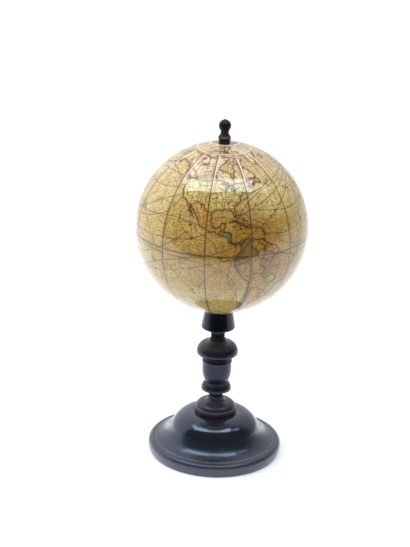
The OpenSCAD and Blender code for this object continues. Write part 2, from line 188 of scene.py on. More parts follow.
# Coasts of lands and large lakes, as closed rings
COASTS = """
-168,65.6 -166.5,66.3 -162,66.3 -163.5,67.5 -166.5,68.4 -163,69.6 -156.6,71.3 -150,70.4 -141,69.6 -135,69.2 -129,70
-125,69.6 -120,69.4 -115,68.4 -109,67.8 -102,67.8 -97,68 -95.5,70 -94.5,71.9 -92.3,70 -91,68.5 -88,68.8 -85,69.6
-82,69.2 -81.5,68 -84,66.3 -87,66.4 -86.2,65.3 -88.5,64 -93,62 -94.6,60 -94.5,58.8 -92.4,57 -88,56.5 -85,55.3
-82.2,55.1 -82.2,53 -80.5,51.3 -78.8,51.8 -79,54 -77,55.8 -76.6,57.5 -78.5,58.8 -77.5,60 -77.8,62.4 -74,62.3 -70,61.1
-69.6,59.2 -67,58.4 -65.2,59.8 -64.5,60.3 -62,57.5 -60,55.5 -57.5,54.3 -55.8,52.7 -56.8,51.4 -59.5,50.3 -66,50.2
-68.5,49 -71,47 -68,48.4 -65,49.2 -64.8,48 -65,47 -63,46 -61.4,45.7 -60.5,47 -60.1,45.9 -63.5,44.6 -65.8,43.6 -66,44.5
-64.5,45.4 -67,44.8 -70,43.7 -70.8,42.5 -70,41.8 -71.5,41.4 -74,40.6 -74.2,39.5 -75.3,38.6 -76.2,39 -76,37 -75.6,35.3
-77.5,34.2 -79.2,33.2 -81,32 -81.4,30.5 -80.5,28.3 -80.1,26.5 -80.4,25.2 -81.3,25.4 -82,27 -82.8,28.6 -84,30
-85.3,29.7 -88,30.3 -89.4,30.1 -89.2,29.1 -91.2,29.4 -94,29.6 -96.5,28.3 -97.4,27 -97.4,25 -97.8,22.4 -97,20.3
-96,19.1 -94.5,18.2 -92.5,18.6 -90.8,18.9 -90.4,21 -87,21.5 -87.5,20 -88.2,18.2 -88.6,16 -86,15.9 -83.3,15.1
-83.6,12.5 -83.7,11 -82.2,9.1 -80,9.2 -78.5,9.6 -77,8.4 -76.8,8 -75.6,10.6 -74.5,11.1 -71.7,12.4 -71.4,11 -71.8,9.6
-71,10.3 -70,12.1 -68.3,10.8 -66,10.5 -64.2,10.4 -61.9,10.7 -62,9.8 -60.5,8.5 -58.5,7.2 -57,6 -54,5.9 -51.7,4.2
-50.3,2 -50,0.5 -51.5,-1.2 -48.5,-0.8 -44.5,-2.3 -41.5,-2.9 -38.5,-3.7 -35.3,-5.2 -34.8,-7.5 -37,-11 -38.7,-13 -39,-17
-39.8,-19.7 -41,-22 -43.2,-23 -46.3,-24 -48.6,-26 -48.7,-28.5 -51.5,-32 -53.8,-34.2 -56.5,-34.9 -58.3,-34 -57.2,-36
-57.6,-38.1 -62,-38.9 -62.3,-40.6 -65,-41 -63.8,-42.4 -65.3,-44.5 -67.5,-46 -65.8,-47.8 -68.8,-50.2 -68.4,-52.4
-65.2,-54.7 -68,-55.6 -72,-54 -74.8,-51.5 -75.5,-48.5 -74.4,-46 -72.8,-43.5 -73.8,-41.5 -73.3,-39 -73.6,-37.2
-72.2,-35.5 -71.6,-33 -71.5,-30 -70.6,-26 -70.2,-22 -70.3,-18.4 -72.5,-17 -76.2,-13.8 -77.2,-12 -79,-8.2 -81,-6
-81.2,-4.4 -80,-3 -80.9,-2.2 -80,0.8 -78.8,1.8 -77.4,3.8 -77.3,6.5 -78.3,8.4 -79.6,8.9 -80.4,7.5 -82.8,8.1 -83.7,8.8
-85.7,10 -85.8,11.3 -87.5,12.9 -90,13.8 -92.3,14.6 -94.7,16.2 -96.5,15.7 -99.8,16.8 -102.2,17.9 -105.6,20.3
-105.5,21.8 -107.5,24.3 -109.3,26.2 -112,29 -113.1,31.2 -114.8,31.8 -113.8,29.8 -111.8,27.2 -110.8,25 -109.5,23.1
-112,24.7 -112.4,26.4 -115,27.8 -114.3,28.8 -115.8,30.3 -117.1,32.5 -118.5,34 -120.6,34.5 -122.4,37.3 -123.8,39.3
-124.4,40.4 -124.2,43 -124,46.2 -124.7,48.4 -122.5,47.8 -123.2,49.2 -125.5,50.4 -127.8,51.8 -130,54.3 -131.4,55.8
-134,57.8 -137,58.6 -140,59.8 -144,60 -147,61 -149.5,59.9 -151.8,59.2 -151.3,61 -154,59.2 -156.5,57.3 -160,55.7
-164.5,54.5 -161.5,56 -158,57.8 -157.3,58.8 -162,58.7 -162.2,60 -165.5,61.5 -164.6,63 -161,63.8 -161,64.8 -165,64.5;
-80.5,73.7 -77,72.8 -71,71 -67,69 -62,66.8 -64,65.1 -66.5,63 -66,62 -71,62.9 -74,64.4 -78,64.6 -74,65.8 -73,67.8
-77,69.8 -85,70 -89,71 -89.5,73.2 -84.5,73.6; -116.5,69.2 -113,68.6 -105,69 -102,70.2 -105,72.8 -111,72.4 -118,72.3
-117,70.6; -125,72 -123,71.2 -120,72 -118,73.5 -123.5,74.2; -117,75.5 -110,74.8 -106,75.6 -109,76.5 -116,76.5;
-80,76.2 -77,78.6 -65,82 -80,83 -91,81.3 -87,78.5 -90,76.6; -80,75.8 -80,74.6 -92,74.7 -92,76 -86,76.2; -100,73
-97,71.7 -96,73.6; -102,76 -99,74.9 -96,75.5 -99,76.5; -87,63.8 -83,62.9 -80.5,63.7 -84,65.8; -73,78.5 -68,75.9
-58.5,75.3 -54.8,72.5 -51,70 -53.5,67 -51.5,64 -48.7,61.5 -44,59.9 -42.4,62 -40,65 -33,67.8 -25,69.7 -22,71.5 -20,74.5
-19,77.5 -20,80.5 -30,83 -45,82.3 -60,82 -66,80.5; -59.3,47.7 -57.5,50.6 -55.6,51.5 -56.2,49.8 -53.5,49 -53,46.7
-55.8,46.9 -56,47.6; -123.5,48.4 -128.2,50.6 -127,50.9 -123.9,49.2; -131,52.1 -133,54 -131.7,54; -134.5,56 -136,58
-133.3,57; -154.5,57 -152.3,57.4 -152.5,58.3 -154,57.9; -84.9,21.9 -82.5,23.1 -80,23 -77,21.6 -74.2,20.2 -77.6,19.9
-77.5,20.7 -79.5,21.6 -82,22.4; -74.3,18.5 -72.5,20 -70,19.7 -68.4,18.7 -71,18 -72,18.3; -78.3,18.4 -76.3,18.1
-77.3,17.7; -67.2,18.5 -65.6,18.3 -66.5,17.9; -155.9,19.1 -154.8,19.6 -155.8,20.3; -61,-51.9 -58,-51.5 -59,-52.3;
-22.5,64 -24,65.6 -20.5,66 -16,66.4 -13.6,65 -18.5,63.4; -5.6,50.1 -3,50.7 1.4,51.2 1.7,52.7 0.2,53.5 -1.5,55 -2,57.6
-4,57.7 -3.1,58.6 -5,58.6 -5.8,57 -4.8,55 -3.2,54.9 -3.1,53.4 -4.6,53.1 -4.8,52 -3.2,51.4; -6,52.2 -9.8,51.6 -10,54.2
-8.2,55.2 -5.6,54.6 -6.1,53.5; 25.7,71.1 31,70.2 41,67.8 40.5,66.4 33.5,66.8 34.7,64.4 38,64 40.2,65 42.5,66.4 44,66
44,68.5 54,68.4 60,68.8 64.5,69.4 67,69 67,72.8 69.5,73 73,71.5 72,68.5 74.5,68.5 80,72.5 87,75 98,76 104,77.7 113,74
120,73 129,71.8 131,70.8 140,72.5 150,71.5 160,69.7 170,69 180,69 187,66.9 190.2,66.1 187,64.5 181,65.8 177,64.7
179,62.4 172,61 164.5,59.8 163.3,58 162.3,56.2 160,53 156.7,51 155.7,56 159,59.5 163.5,62.3 156,61.5 152,59 143,59.3
135.5,54.8 139,54 141,52.5 140.4,49 135,44 132,43.2 130.5,42.3 127.6,39.6 129.4,37 129.2,35.3 126.4,34.4 126.7,37.2
124.3,39.8 121.2,38.9 121.8,40.8 118,39.1 118.8,37.5 122.4,37.2 119.3,35 121,32.5 121.9,30.8 121.5,28.5 119,25.5
117,23.5 114,22.4 110.5,21.2 108.3,21.6 105.8,19 108.8,15.5 109.2,12 106.8,10.4 104.9,8.7 105,10 102.5,12 100.6,13.5
99.4,10 101.5,6.9 103.4,4.5 104.2,1.4 101.3,2.8 100.3,6 98.5,8.2 98.7,12 97.7,16.5 95.2,15.8 94.3,16 94.2,18.8
91.8,22.4 89,21.8 87,21.5 85,19.7 82.3,16.7 80.2,15.5 80.2,13 79.8,10.3 78.2,8.9 77.5,8.1 76.2,10 74.8,13 73.4,16.5
72.8,19 72.7,21.3 70.3,20.9 69,22.4 67.2,24.8 61.6,25.2 57.3,25.7 56.5,27.1 51.5,27.9 50,30.1 48,30 48.2,28.5
50.2,26.6 51.4,25.6 51.5,24.3 54,24.2 56.3,26.2 56.4,24.8 59.8,22.5 57.8,19 55,17 52.2,15.6 48.7,14 45,12.8 43.3,12.7
42.7,15.5 41.2,18.6 39.1,21.3 37.2,24.5 34.9,29.4 34.2,27.8 32.5,29.9 33.6,27.8 35.5,24 37.3,21 37.3,19 39.5,15.5
43.2,12.4 42.8,11.3 44.5,10.5 51.2,11.9 48,4.5 44,1 41.5,-1.8 39.2,-4.8 39.5,-7 40.6,-11 40.7,-15 36.9,-17.9 34.8,-20
35.4,-23.8 32.8,-26 32.4,-28.5 30.5,-31 27,-33.6 22,-34.1 20,-34.8 18.4,-34 18,-32 15.2,-27 14.4,-22.5 11.8,-18
13.4,-12.5 13.2,-9 12.1,-5.5 9.4,-2 9.5,1 9.6,3.8 7,4.4 4.3,6.2 1.2,6.1 -2,4.8 -7.6,4.4 -11,6.5 -13.3,8.8 -15,11
-16.8,12.5 -17.5,14.7 -16.5,17 -16.3,20 -17,21 -15.8,24 -13,27.7 -9.8,29.8 -9.7,31.5 -6.8,34 -5.9,35.8 -2,35.2 3,36.8
9.8,37.3 11,37 10.3,34.3 15,32.4 19,30.4 20.2,32.4 23,32.7 25,31.6 29,30.9 31,31.5 32.3,31.2 34.3,31.3 35.9,35.2
36.1,36.7 34,36.3 30.6,36.8 28.2,36.7 26.4,38.6 26.2,40 29,41 31.3,41.2 35,42 38.5,40.9 41.5,41.5 41.5,42.7 38,44.4
37.3,45.4 39.2,47.1 35,46.2 36.5,45.3 33.5,44.5 33,46 30.7,46.5 28.7,44 27.7,42.6 28.9,41.1 26.1,40.4 23.8,40.3
22.7,40.4 23,39.2 24,37.9 23,36.5 21.5,37 21.2,38.4 19.4,40.5 19.5,42 16,43.6 14,45 12.4,45.5 12.4,44.2 14,42.4
16.1,41.8 18.4,40.2 16.8,40.4 17.1,39 15.7,38 15.9,39.5 14.3,40.7 12.2,41.8 10.3,43.2 8.8,44.4 6.8,43.3 4,43.5
3.1,42.5 0.7,40.7 -0.3,39.4 0.1,38.7 -0.7,37.7 -2.1,36.8 -5.5,36.1 -6.5,36.9 -8.9,37 -9.4,38.8 -8.8,41 -9.2,43.1
-3.8,43.5 -1.5,43.5 -1.2,45.5 -2.2,47.2 -4.7,48.3 -2,48.7 -1.6,49.7 0.2,49.6 1.6,50.9 3.5,51.5 4.6,52.8 6.8,53.5
8.6,53.9 8.3,55.5 8.6,57 10.6,57.7 10.3,56.3 9.8,54.9 11,54 14.2,53.9 18.5,54.8 20,54.6 21,56 21.7,57.5 24.2,57.2
23.5,58.9 28,59.6 30,59.9 28.5,60.6 23,59.9 21.4,60.8 21.3,62.8 25.3,65.1 24.1,65.8 21.5,64.5 17.8,62.3 17.3,60.8
18.8,59.9 16.7,58.3 16.4,56.5 14.4,55.5 12.9,55.5 12,57.5 10.6,59.3 8,58.1 5.6,58.8 5,61 8.5,63.5 12.5,66 15.5,68.5
19.5,70; 52,71 56,74 66,76.8 68,76.2 58,73.3 57,70.7; 11,79 15,76.8 21,78.5 26,80 16,80; 12.5,38 15.6,38.2 15.1,36.7;
8.3,39 8.3,41 9.6,41 9.6,39.2; 8.7,41.5 8.7,42.6 9.5,42.9 9.4,41.6; 23.6,35.4 26.2,35.3 25,34.9; 32.4,34.9 34.4,35.6
33.6,34.9; 49.3,-12 50.4,-15.7 47.5,-24.8 45.2,-25.5 43.6,-23 44.4,-19.8 44.2,-16.3 47.5,-15; 79.9,9.5 81.8,7.5 80.6,6
79.8,7.5; 95.4,5.6 98.5,3.8 103.5,0 106,-3 105.8,-5.8 102.3,-4 100.3,-0.9 97.7,2; 105.4,-6.8 108.3,-6.5 112.7,-6.9
114.5,-7.8 114.4,-8.7 110,-8 106.5,-7.4; 109,1.5 111.3,2.5 115,5 117,7 119,5.2 117.8,2 118.8,0.9 116.5,-2.5 114.7,-4
111.8,-3.4 110,-1.5; 119.5,-5.5 120,-2.8 119.8,0.2 121,1.2 125,1.6 120.7,0.3 123.3,-1 121.8,-2.2 122.6,-4.5 121,-3
120.5,-5.5; 120.3,16 120.7,18.5 122.2,18.4 121.6,15.8 124,12.6 121.8,13.8 120.6,14; 122,7 123.5,8.6 125.5,9.8
126.4,7.5 125.5,5.8 124,7; 125,12.5 125.7,11 124.5,9.8 123,10 122.3,11.8; 127.6,1 128.6,1.5 128,-0.6; 128,-3.2
130.8,-3.2 129,-3.6; 123.8,-10.2 127,-8.5 124.5,-9.2; 131,-0.8 134,-0.8 135,-3.3 138,-1.7 141,-2.6 145.8,-5.3 147.8,-6
150.8,-10.4 147,-9.5 144,-7.7 143,-9.1 139,-8.1 138,-5.5 133,-4 132.8,-2.8 131.2,-1.5; 148.5,-5.8 152,-4.2 151.5,-5.7;
142.5,-10.7 145.4,-15 146.3,-18.9 149.5,-22.3 153.1,-25.5 153.6,-28.8 151.3,-33.5 150,-37.4 146.5,-39 143.5,-38.8
140,-37.5 138,-35.6 137.5,-33 136,-34.8 134,-32.7 131,-31.5 126,-32.2 123.8,-33.9 120,-33.9 117.9,-35.1 115.1,-34.3
115.7,-31.8 113.6,-26.5 113.7,-22.7 117,-20.7 121.5,-19 122.2,-17.2 125,-14.8 128,-15 130.8,-12.4 132.8,-11.4
136.8,-12.2 135.5,-14.8 139.3,-17.5 140.9,-17 141.7,-12.8; 144.7,-40.8 148.2,-40.9 147.8,-43 146,-43.5 145.2,-42;
172.7,-34.5 175.3,-36.6 178.4,-37.7 177,-39.5 175.2,-41.6 173.8,-39.3 174.7,-37.5; 172.7,-40.6 174.2,-41.5 172.8,-43.7
170.7,-45.9 168.4,-46.6 166.5,-45.9 168.5,-44 171.5,-41.8; 140.9,35.2 142,39.5 141.4,41.4 140,40 139.5,38.2 137,37.3
136,35.7 131,34.3 132.5,34 135.5,34.6 135.8,33.5 137,34.6 138.8,34.7; 130,33 131.9,33.3 131.3,31.4 130.2,31.2;
132.5,33.6 134.5,34.2 134.3,33.3 133,32.8; 140,42 141.7,45.4 145.2,43.7 143.2,42 141,42.4; 142.2,46 142,50 142.8,54.3
143.6,51 143.3,49 142.9,46.8; 120.2,23 121.5,25.2 120.9,22; 108.7,19 111,20 110,18.4; 164,-20 167,-22.4 165.5,-21.8;
139,73.5 145,75.5 150,75 143,73.4; -92,46.8 -88.5,48.7 -85,47.5 -84.7,46.6 -87.5,46.6; -87.8,42 -87.5,44.5 -85,45.8
-86.3,43.5 -86.8,41.8; -84.5,45.9 -81.5,46 -79.9,44.7 -81.7,43.5 -82.5,43 -83.5,44.8; -83.3,41.8 -80,42.8 -79,42.8
-81.5,41.6; -79.7,43.3 -76.5,44.2 -76.3,43.6 -79,43.3; -97,50.5 -99,53.5 -97.8,53.8 -96.5,51; -117,61 -110,62.8
-112,61.2; -125,66 -120,67 -118,66.3 -121,65; 47,44.8 49,46.3 51.5,46.8 53,45 51,44.5 50.5,44 52.7,42 53,39.8
53.9,37.2 50.5,37.2 49,38.2 50,40.3 48.5,42 47.5,43.5; 58.5,44 59,46 61.5,46.4 61,44 59.5,43.5; 104,51.5 108,53.5
110,55.5 109,53.5 106,51.6; 31.8,-0.5 32.5,0.4 34.2,0.2 33.8,-2 32,-2.3; 30,60.5 31.5,61.5 32.8,60.8 31.5,59.9
"""

# Small islands, drawn as dots
ISLETS = """
-175,-21 -174,-18.6 -172,-13.7 -170.7,-14.3 178,-17.8 179.3,-16.7 -149.4,-17.6 -151.4,-16.8 -147.5,-15.2 -145,-16.5
-142,-16 -144.5,-17.4 -141,-18.5 -138.9,-17 -139,-9.5 -140.1,-8.9 -138.7,-10.4 -130.1,-25 -109.4,-27.1 -134.9,-23.1
-159.8,-21.2 -157.9,-20.2 -149,-23.5 -152.5,-22.5 -158,21.4 -156.4,20.8 -159.5,22.1 -161,-10 -165.8,-10.9 -158,-9
-171.8,-9.2 -176.2,-13.3 -171.1,-4 -174.5,-3.6 -157.3,1.9 -159.4,4 -162,6 173,1.5 174.5,-0.6 172.9,0.3 175.6,-2.5
171,7 168.7,7.3 166.8,8.8 170.3,9 163,5.3 158.2,6.9 151.7,7.4 147,7.5 144.8,13.4 145.7,15.1 138,9.5 134.5,7.5
-90.5,-0.6 -91.3,-0.4 -89.6,-0.9 -80,-33.6 -78.8,-33.7 -109.2,10.3 -111,18.8 -64.7,32.3 -25.5,37.7 -28,38.5 -31,39.5
-17,32.7 -15.5,28 -16.6,28.3 -14,28.5 -24,15 -23,16.5 -25,17 -14.4,-8 -5.7,-16 -12.3,-37.1 -29.3,-20.5 -32.4,-3.9
-61.5,16.2 -61,14.5 -61.2,13.2 -61.6,15.4 -62.8,17.3 -59.5,13.2 -61.3,10.5 -64.7,18.1 -72.8,22.3 -74.5,22.9 -75.6,24
-77.7,24.5 -77,26.3 -78.4,26.7 -81.4,19.3 -170,57 -171,63.4 -167,53.5 -169.5,53 -172,52.6 -174.5,52.1 -177,51.8
180,51.6 177,52 173,52.8 57.5,-20.2 55.5,-21 55.5,-4.6 73,4 73,0 72,-7 92.7,12 93.8,7.5 6.6,0.2 8.7,3.5 168,-16
167,-15 169,-18.8 160,-9.5 157,-8 162,-10.5 155,-6.2 70,-49.3 37.8,-46.9 51.7,-46.4 -36.5,-54.3 127.8,26.3 129.5,28.3
146,44.5 148,45.5 150,46.5 153,48 155.5,50 -7,62 -1.3,60.3 -7,57.8 1.4,38.8 3,39.7 14.5,36 28,36.2 20.4,38.5 54,12.6
43.5,-11.8 45.2,-12.9 166,-46.9 -176.5,-44 105.6,-10.5 96.8,-12 77.5,-38.3 -62,46.5 -63,49.3 -153,57 -129,53.2
"""

# Rivers
RIVERS = """
-95,47 -91,43.5 -91,40 -89.5,37 -90.5,33.5 -91,31 -89.5,29.5; -112,46 -108,48 -103,47.5 -97.5,43 -94.5,39 -90.3,38.8;
-79,41.5 -82.5,38.5 -86,38 -89,37; -106,38.7 -100,37.8 -95,35.5 -91,34; -106.5,37.5 -106.5,32 -103,29 -99.5,27.5
-97.3,26; -106,40 -110,38 -113,36 -114.7,32.5; -116,51 -118.5,47.5 -121,45.7 -124,46.2; -117,61.5 -121,62 -125,65
-131,67.5 -135,69; -114,51.5 -106,53 -101,53.5 -98,53.2; -97.5,54 -94.5,56 -92.5,57; -108,55.5 -101,56 -94.5,58.6;
-135,61 -141,64.8 -148,65.5 -157,64.8 -160,62.5 -164,62.8; -76.3,44.2 -73.5,45.7 -71,47; -77,-5 -73,-4 -68,-3.5
-60,-3.2 -54,-2 -51,-0.8; -74,-11 -74.5,-7 -73.5,-4.3; -65.5,-12 -63,-8 -59,-3.4; -68,2 -65,-1 -60.5,-3; -57.5,-12
-57,-7 -55,-2.5; -51,-17 -49,-11 -49,-6 -49,-2; -66,3 -67.5,6 -65,7.8 -61.5,8.7; -75.5,2.5 -74,7 -74.8,11; -50,-19
-53,-23 -56,-27.3 -60,-30 -60.3,-32.5 -58.7,-34; -57,-15 -57.7,-20 -58.3,-27.3; -51,-28 -56,-29 -58.2,-33.5; -45,-19
-44,-13 -41,-9.5 -36.5,-10.4; 33,0 31.5,5 31,9.5 32.5,15 33.5,18 31,21 32.8,25 31,30; 37,11.5 35,10.5 32.6,15.5;
-10,9.5 -6,13.5 -2.5,16.7 0.5,16.5 4,12 6.5,7.5 6.3,4.8; 27,-11 26,-5 25.5,0.5 21,2 17,-1 15.5,-4.5 12.5,-6; 23,-12
24,-17.5 28,-17 33,-16.5 36.3,-18.6; 28.5,-30 24,-29 20,-28.5 16.6,-28.6; -10.5,12 -12.5,15 -16,16.2; 9,48 14,48.3
19,47.5 20,45 25,43.8 29.5,45.2; 8.5,47 8,49 6,51.5 4.5,52; 33,57 40,57.5 45,56.3 49,55.3 48.5,52 45,49 47.8,46;
32,54.5 31,50.5 35,48 32.5,46.6; 40,53 39.5,50.5 43,48.8 39.5,47.1; 40,60 43,62 41,64.5; 85,52.5 83,56 78,58.5 70,61
66,64 69,66.5 72.5,66.5; 84,48 77,52 73,55 69.5,58 69,61; 94,52 92.5,56 90,60 88,65 86,67.5 83,71; 106,54.5 110,58.5
120,60.5 129.5,62 127,66 124,70 127,72.5; 148,62 153,65.5 159,68.5; 113,50 121,53.3 127,50 131,47.8 136,49 140.5,53;
97,35 104,37 107,40.5 111,40 110.5,35 114,35 118.5,37.6; 93,33.5 99,29 103,26.5 105,29 111,30.5 116,30 121,31.8; 97,31
100,22 102,18 105,15 106,10.5; 78,30 82,26 88,24.7 90,22.5; 82,30.5 90,29.3 95.5,29.3 92,26 90,24.5; 80,32 74.5,35.3
71.5,33 69,28 67.8,24.2; 39.5,39.5 38.3,36.5 42,34.5 46,31.5 48.3,30; 41,37.8 43.5,35.5 46,32 47.5,31; 150,-29 145,-31
142,-34 139,-35.3; 147,-36 142,-34.3
"""

# Mountain ranges
RANGES = """
-136,60 -127,56 -120,52.5 -114,48.5 -110,44 -106.5,40 -106,36 -105,31; -121.5,48.5 -121.8,44 -120,39 -118,36; -108,29
-105,24.5 -101,20.5 -97,18; -86,34 -81,37.5 -76,41 -71.5,44.5; -155,61 -150,63 -143,62.5; -72,9 -76,4 -78.5,-1
-77.5,-9 -72,-14.5 -68,-18 -67.5,-24 -70,-30 -70.3,-37 -72,-45 -73,-51; -73,-13 -66,-17 -65,-21; -43,-17 -43.5,-21
-48,-25.5; -66,4 -61,4.5; 7,60 12,63.5 17,68; 59,51 59,57 60,63 66,68; 6,45 9,46.5 14,47; 18.5,49.3 24,48 26,45.5;
-1.5,43 2.5,42.5; 38,44.2 43,43 48,41; -9,30.5 -4,33 3,35.5 8,35.8; 31,37 37,38 44,38.5 51,36.2 59,37; 45,36 50,32.5
55,29; 67,35 73,35.5 78,32 84,28.5 90,28 96,29; 76,37 84,36 92,36 100,34; 70,42 78,42.5 87,43.5 93,43; 84,50 90,49.5
98,51.5 108,51; 118,56 128,56 137,58.5 145,61.5 155,64 165,66; 73.5,20 74.5,14 77,10; 39,14.5 38.5,9.5; 31,-25 29,-30
25,-32; -10,9 -2,9 7,9; 146,-18 149,-25 151,-30 148,-36.5; 168,-45 172,-42.5
"""

# Borders of states and provinces
STATES = """
-104,49 -104,41; -111,45 -111,41 -102,41 -102,37; -109,41 -109,31.5; -114,42 -114,35; -120,42 -120,39 -114.6,35;
-124,42 -111,42; -117,49 -117,42; -116,49 -116,48 -111,44.5; -111,45 -104,45 -96.5,46; -104,43 -98.5,43 -96.5,42.5;
-102,40 -95.5,40; -109,37 -94.6,37 -89.5,36.5 -82,36.6; -103,36.5 -103,32 -106.5,32; -100,36.5 -100,34.5 -94.5,33.7
-94,30; -96.5,46 -96.5,43.5 -91.2,43.5; -94.6,40.5 -94.6,34; -95.8,40.6 -91.5,40.6; -90.5,42.5 -87.8,42.5 -87.5,38;
-84.8,41.7 -84.8,39; -90,35 -79,35; -88.3,35 -88.3,30.4; -85.5,35 -85,31; -87.6,31 -82,30.6; -79.8,42 -75,42
-74.7,41.3; -80.5,42 -80.5,39.7 -75.5,39.7; -73.4,45 -73.4,41.5; -71.5,45 -71.5,42.6; -120,60 -94.8,60; -110,60
-110,49; -102,60 -101.4,49; -120,60 -120,54 -114,49; -95,49 -95,52.8 -89,56.8; -79.5,51.5 -79.5,47 -76.5,45.5; -136,69
-136,65 -124,60; -124,60 -120,67 -118,69; -110,60 -112,68; -108.5,31 -108,26; -103,29 -104,25 -99,22; -101,20 -99,18;
-62,-8 -50,-9.5 -46,-6; -50,-9 -50,-16 -46,-15; -56,-8 -54,-14 -61,-13; -60,1 -57,-2; -45,-3 -44,-9 -41,-11; -40,-5
-38,-9; -65,-25 -60,-27; -68,-32 -62,-33 -62,-38; 129,-14.8 129,-31.7; 138,-16.5 138,-26 129,-26; 141,-26 141,-38;
138,-26 141,-29 153,-28.5; 70,60 75,62 80,72; 95,50 90,60 88,70; 110,50 112,60 106,72; 72,24 87,24; 75,18 84,18; -8,15
10,15; 14,23 14,10 24,10; 30,5 42,5
"""

# Ships' tracks and currents across the oceans
TRACKS = """
-110,20 -125,22 -145,20 -170,18 165,16; -122,36 -130,25 -145,18 -165,14; -118,30 -120,22 -114,14 -105,10; -100,14
-115,9 -135,7 -160,6 175,6; -85,-2 -105,-8 -130,-15 -155,-20 -178,-24; -92,2 -95,9 -105,15 -108,20; -130,45 -145,52
-160,54; -124,44 -135,40 -155,38 -178,38 160,36; -60,14 -45,12 -30,14 -20,18; -50,8 -40,4 -25,2 -12,4; -35,-5 -20,-4
0,-2 8,0; -74,36 -66,40 -55,43 -44,48; -70,30 -55,28 -35,26 -20,28; -75,28 -68,23 -58,19; -81,13 -76,15 -68,14; -93,25
-87,25 -82,24; -40,-25 -30,-35 -10,-38 10,-37; -55,-40 -45,-45 -25,-47 0,-45; -105,-2 -125,-3 -150,-1 -175,0; -90,-30
-105,-35 -125,-36 -150,-33; -74,40 -60,42 -40,47 -20,50 -8,51; -80,25 -60,33 -40,40 -15,47 -5,49; -79,9.5 -60,20
-40,32 -20,42 -6,48; -79.5,24 -72,33 -60,40 -45,44 -30,46; -35,-8 -28,5 -25,20 -18,35 -9,43; -43,-23 -30,-22 -10,-20
5,-25 17,-33; -9,38 -20,25 -30,8 -34,-6; -65,-58 -85,-55 -100,-42 -115,-22 -135,0 -150,15 -158,21; -80,7 -100,0
-130,-8 -150,-17 -170,-25 174,-36; -122.5,37.5 -140,30 -158,21 -178,15 160,12 140,15; -81,5 -85,-15 -78,-30 -75,-40;
-125,48 -150,50 -175,48 160,43 142,38; -76,-36 -80,-20 -90,-9 -110,-4 -140,-3 -170,-4; -170,-42 -140,-47 -110,-50
-85,-56; -95,-12 -105,-25 -100,-38 -85,-45; -112,15 -125,5 -145,-6 -165,-12; 18,-35 40,-30 60,-20 80,-5 95,6; 45,12
60,10 80,5 95,6; 20,-36 60,-38 100,-38 140,-42 175,-48; 57,-20 75,-5 80,6; 115,-34 105,-15 98,-2
"""

# Hand-coloured lands: a colour for the fill, one for the outline, and a point or more in each land
LANDS = {
    "rose": ((1.0, 0.95, 0.88), (0.90, 0.25, 0.27), """-130,60 -125,56 -120,52.3 -110,60 -110,52.5 -100,65 -100,52.5
        -90,53 -85,51.5 -75,55 -65,55 -72,50 -62,46.5 -57,49 -75,70 -110,71 -90,67 -80,80 -122,66 -133,57 -95,60
        -42,74 -45,64 -30,78 -2,53 -8,53 -4,57 78,22 76,15 85,25 80,28 73,27 78,11 81,7.5 138,36 131,33 143,43
        146,-25 148,-31 146,-20 175,-39 3,34 -12,11 -5,7 3,8 8,6 20,-31 25,-31.5 23,-27 60,43 68,41 75,46 62,38
        106,16 105.5,20 106,12 -62,9 10,12"""),
    "green": ((1.0, 0.98, 0.52), (0.15, 0.36, 0.04), """-155,66 -150,62.5 -160,60 -147,68 -120,45.7 -110,45.5 -100,45.5
        -92,45.5 -85,41 -77,41 -72,44.5 -69,46 -82,33 -90,33 -97,35 -105,37 -112,38 -119,38 -98,31 -81.5,28 -115,34
        15,62 20,67 9,61 26,68 14,57.5 30,60 38,56 45,52 50,60 35,50 60,65 28,52 70,60 85,62 100,62 115,62 130,63
        145,63 160,66 175,67 160,56 95,70 75,68 120,70 105,55 125,56 135,52 66,52 11.5,44 14,41.5 16.5,39 -8.4,39.5
        -6,32 101,15 99,9 102,4 140,-5 122,-26 118,-32 125,-18 38,10 36,14 -19,65 29,-27 30,-29.5 46.5,-19
        -56,-33 -67,-3 -58,-1 -64,-9 -55,-19 -67,8 -64,6"""),
    "teal": ((0.46, 0.54, 0.40), (0.08, 0.17, 0.17), """-79,22 -71.5,19 -77,18 -66.5,18.2 -74,5 -73,9
        -70,2 -78.5,-1.5 30,39 36,38.5 42,38 25,42 22,40 10,31 17,28 22,30 38,-5 36,0 40,1 -71,-27 -71.8,-33
        -73,-41 -73.7,-47 -90,15 -86,13.5 -84,10.5 -80.5,8.5"""),
    "orange": ((1.0, 0.80, 0.40), (0.92, 0.36, 0.06), """-115,29.5 -110,29 -106,27.5 -100,25 -104,21 -98,19 -93,17
        -89.5,20 -112,26.5 -65,-27 -65,-33 -61,-30 -63,-37 -4,40 65,33 64,28 96,21 93,25 101,0 104,-3 97.5,3.5
        114,0.5 110,-7.3 121,-2 0,13 20,12 28,12 37,-15 34,-20 38,-11 127,37.5"""),
    "yellow": ((1.0, 0.95, 0.66), (0.78, 0.55, 0.12), """-65,-17 -66,-21 -69,-42 -70,-48 -69,-53.5 -58,-23.5 2,47
        10,51 15,48 19,47 54,33 58,30 50,35 29,27 32,24 31,20 46,6 43,9 16,-12 134,-18 134,-27 137,-31 122,15 125,8
        105,32 112,28 115,34 108,25 118,28 110,38 100,27 119,32 121,-8"""),
    "red": ((0.98, 0.72, 0.56), (0.78, 0.20, 0.12), """-58.5,5 -55,4 -53,3.3
        9,56 144,-37 147,-42 99.5,19"""),
    "ochre": ((0.90, 0.82, 0.66), (0.35, 0.42, 0.26), """-52,-5 -45,-8 -40,-6 -50,-13 -42,-17 -57,-13 -53,-24 -52,-28
        -47,-20 -60,-6 -76,-8 -73,-14 -71.5,-16.5 45,24 50,20 40,22 47,28 55,21 0,24 10,23 20,21 -9,22 -12,18 25,17
        15,0 22,-3 28,2 20,-10 17,-22 20,-23 27,-18 30,-13 86,32 95,32 100,46 110,45 90,46 118,46 85,42 78,38 90,38
        126,44"""),
}

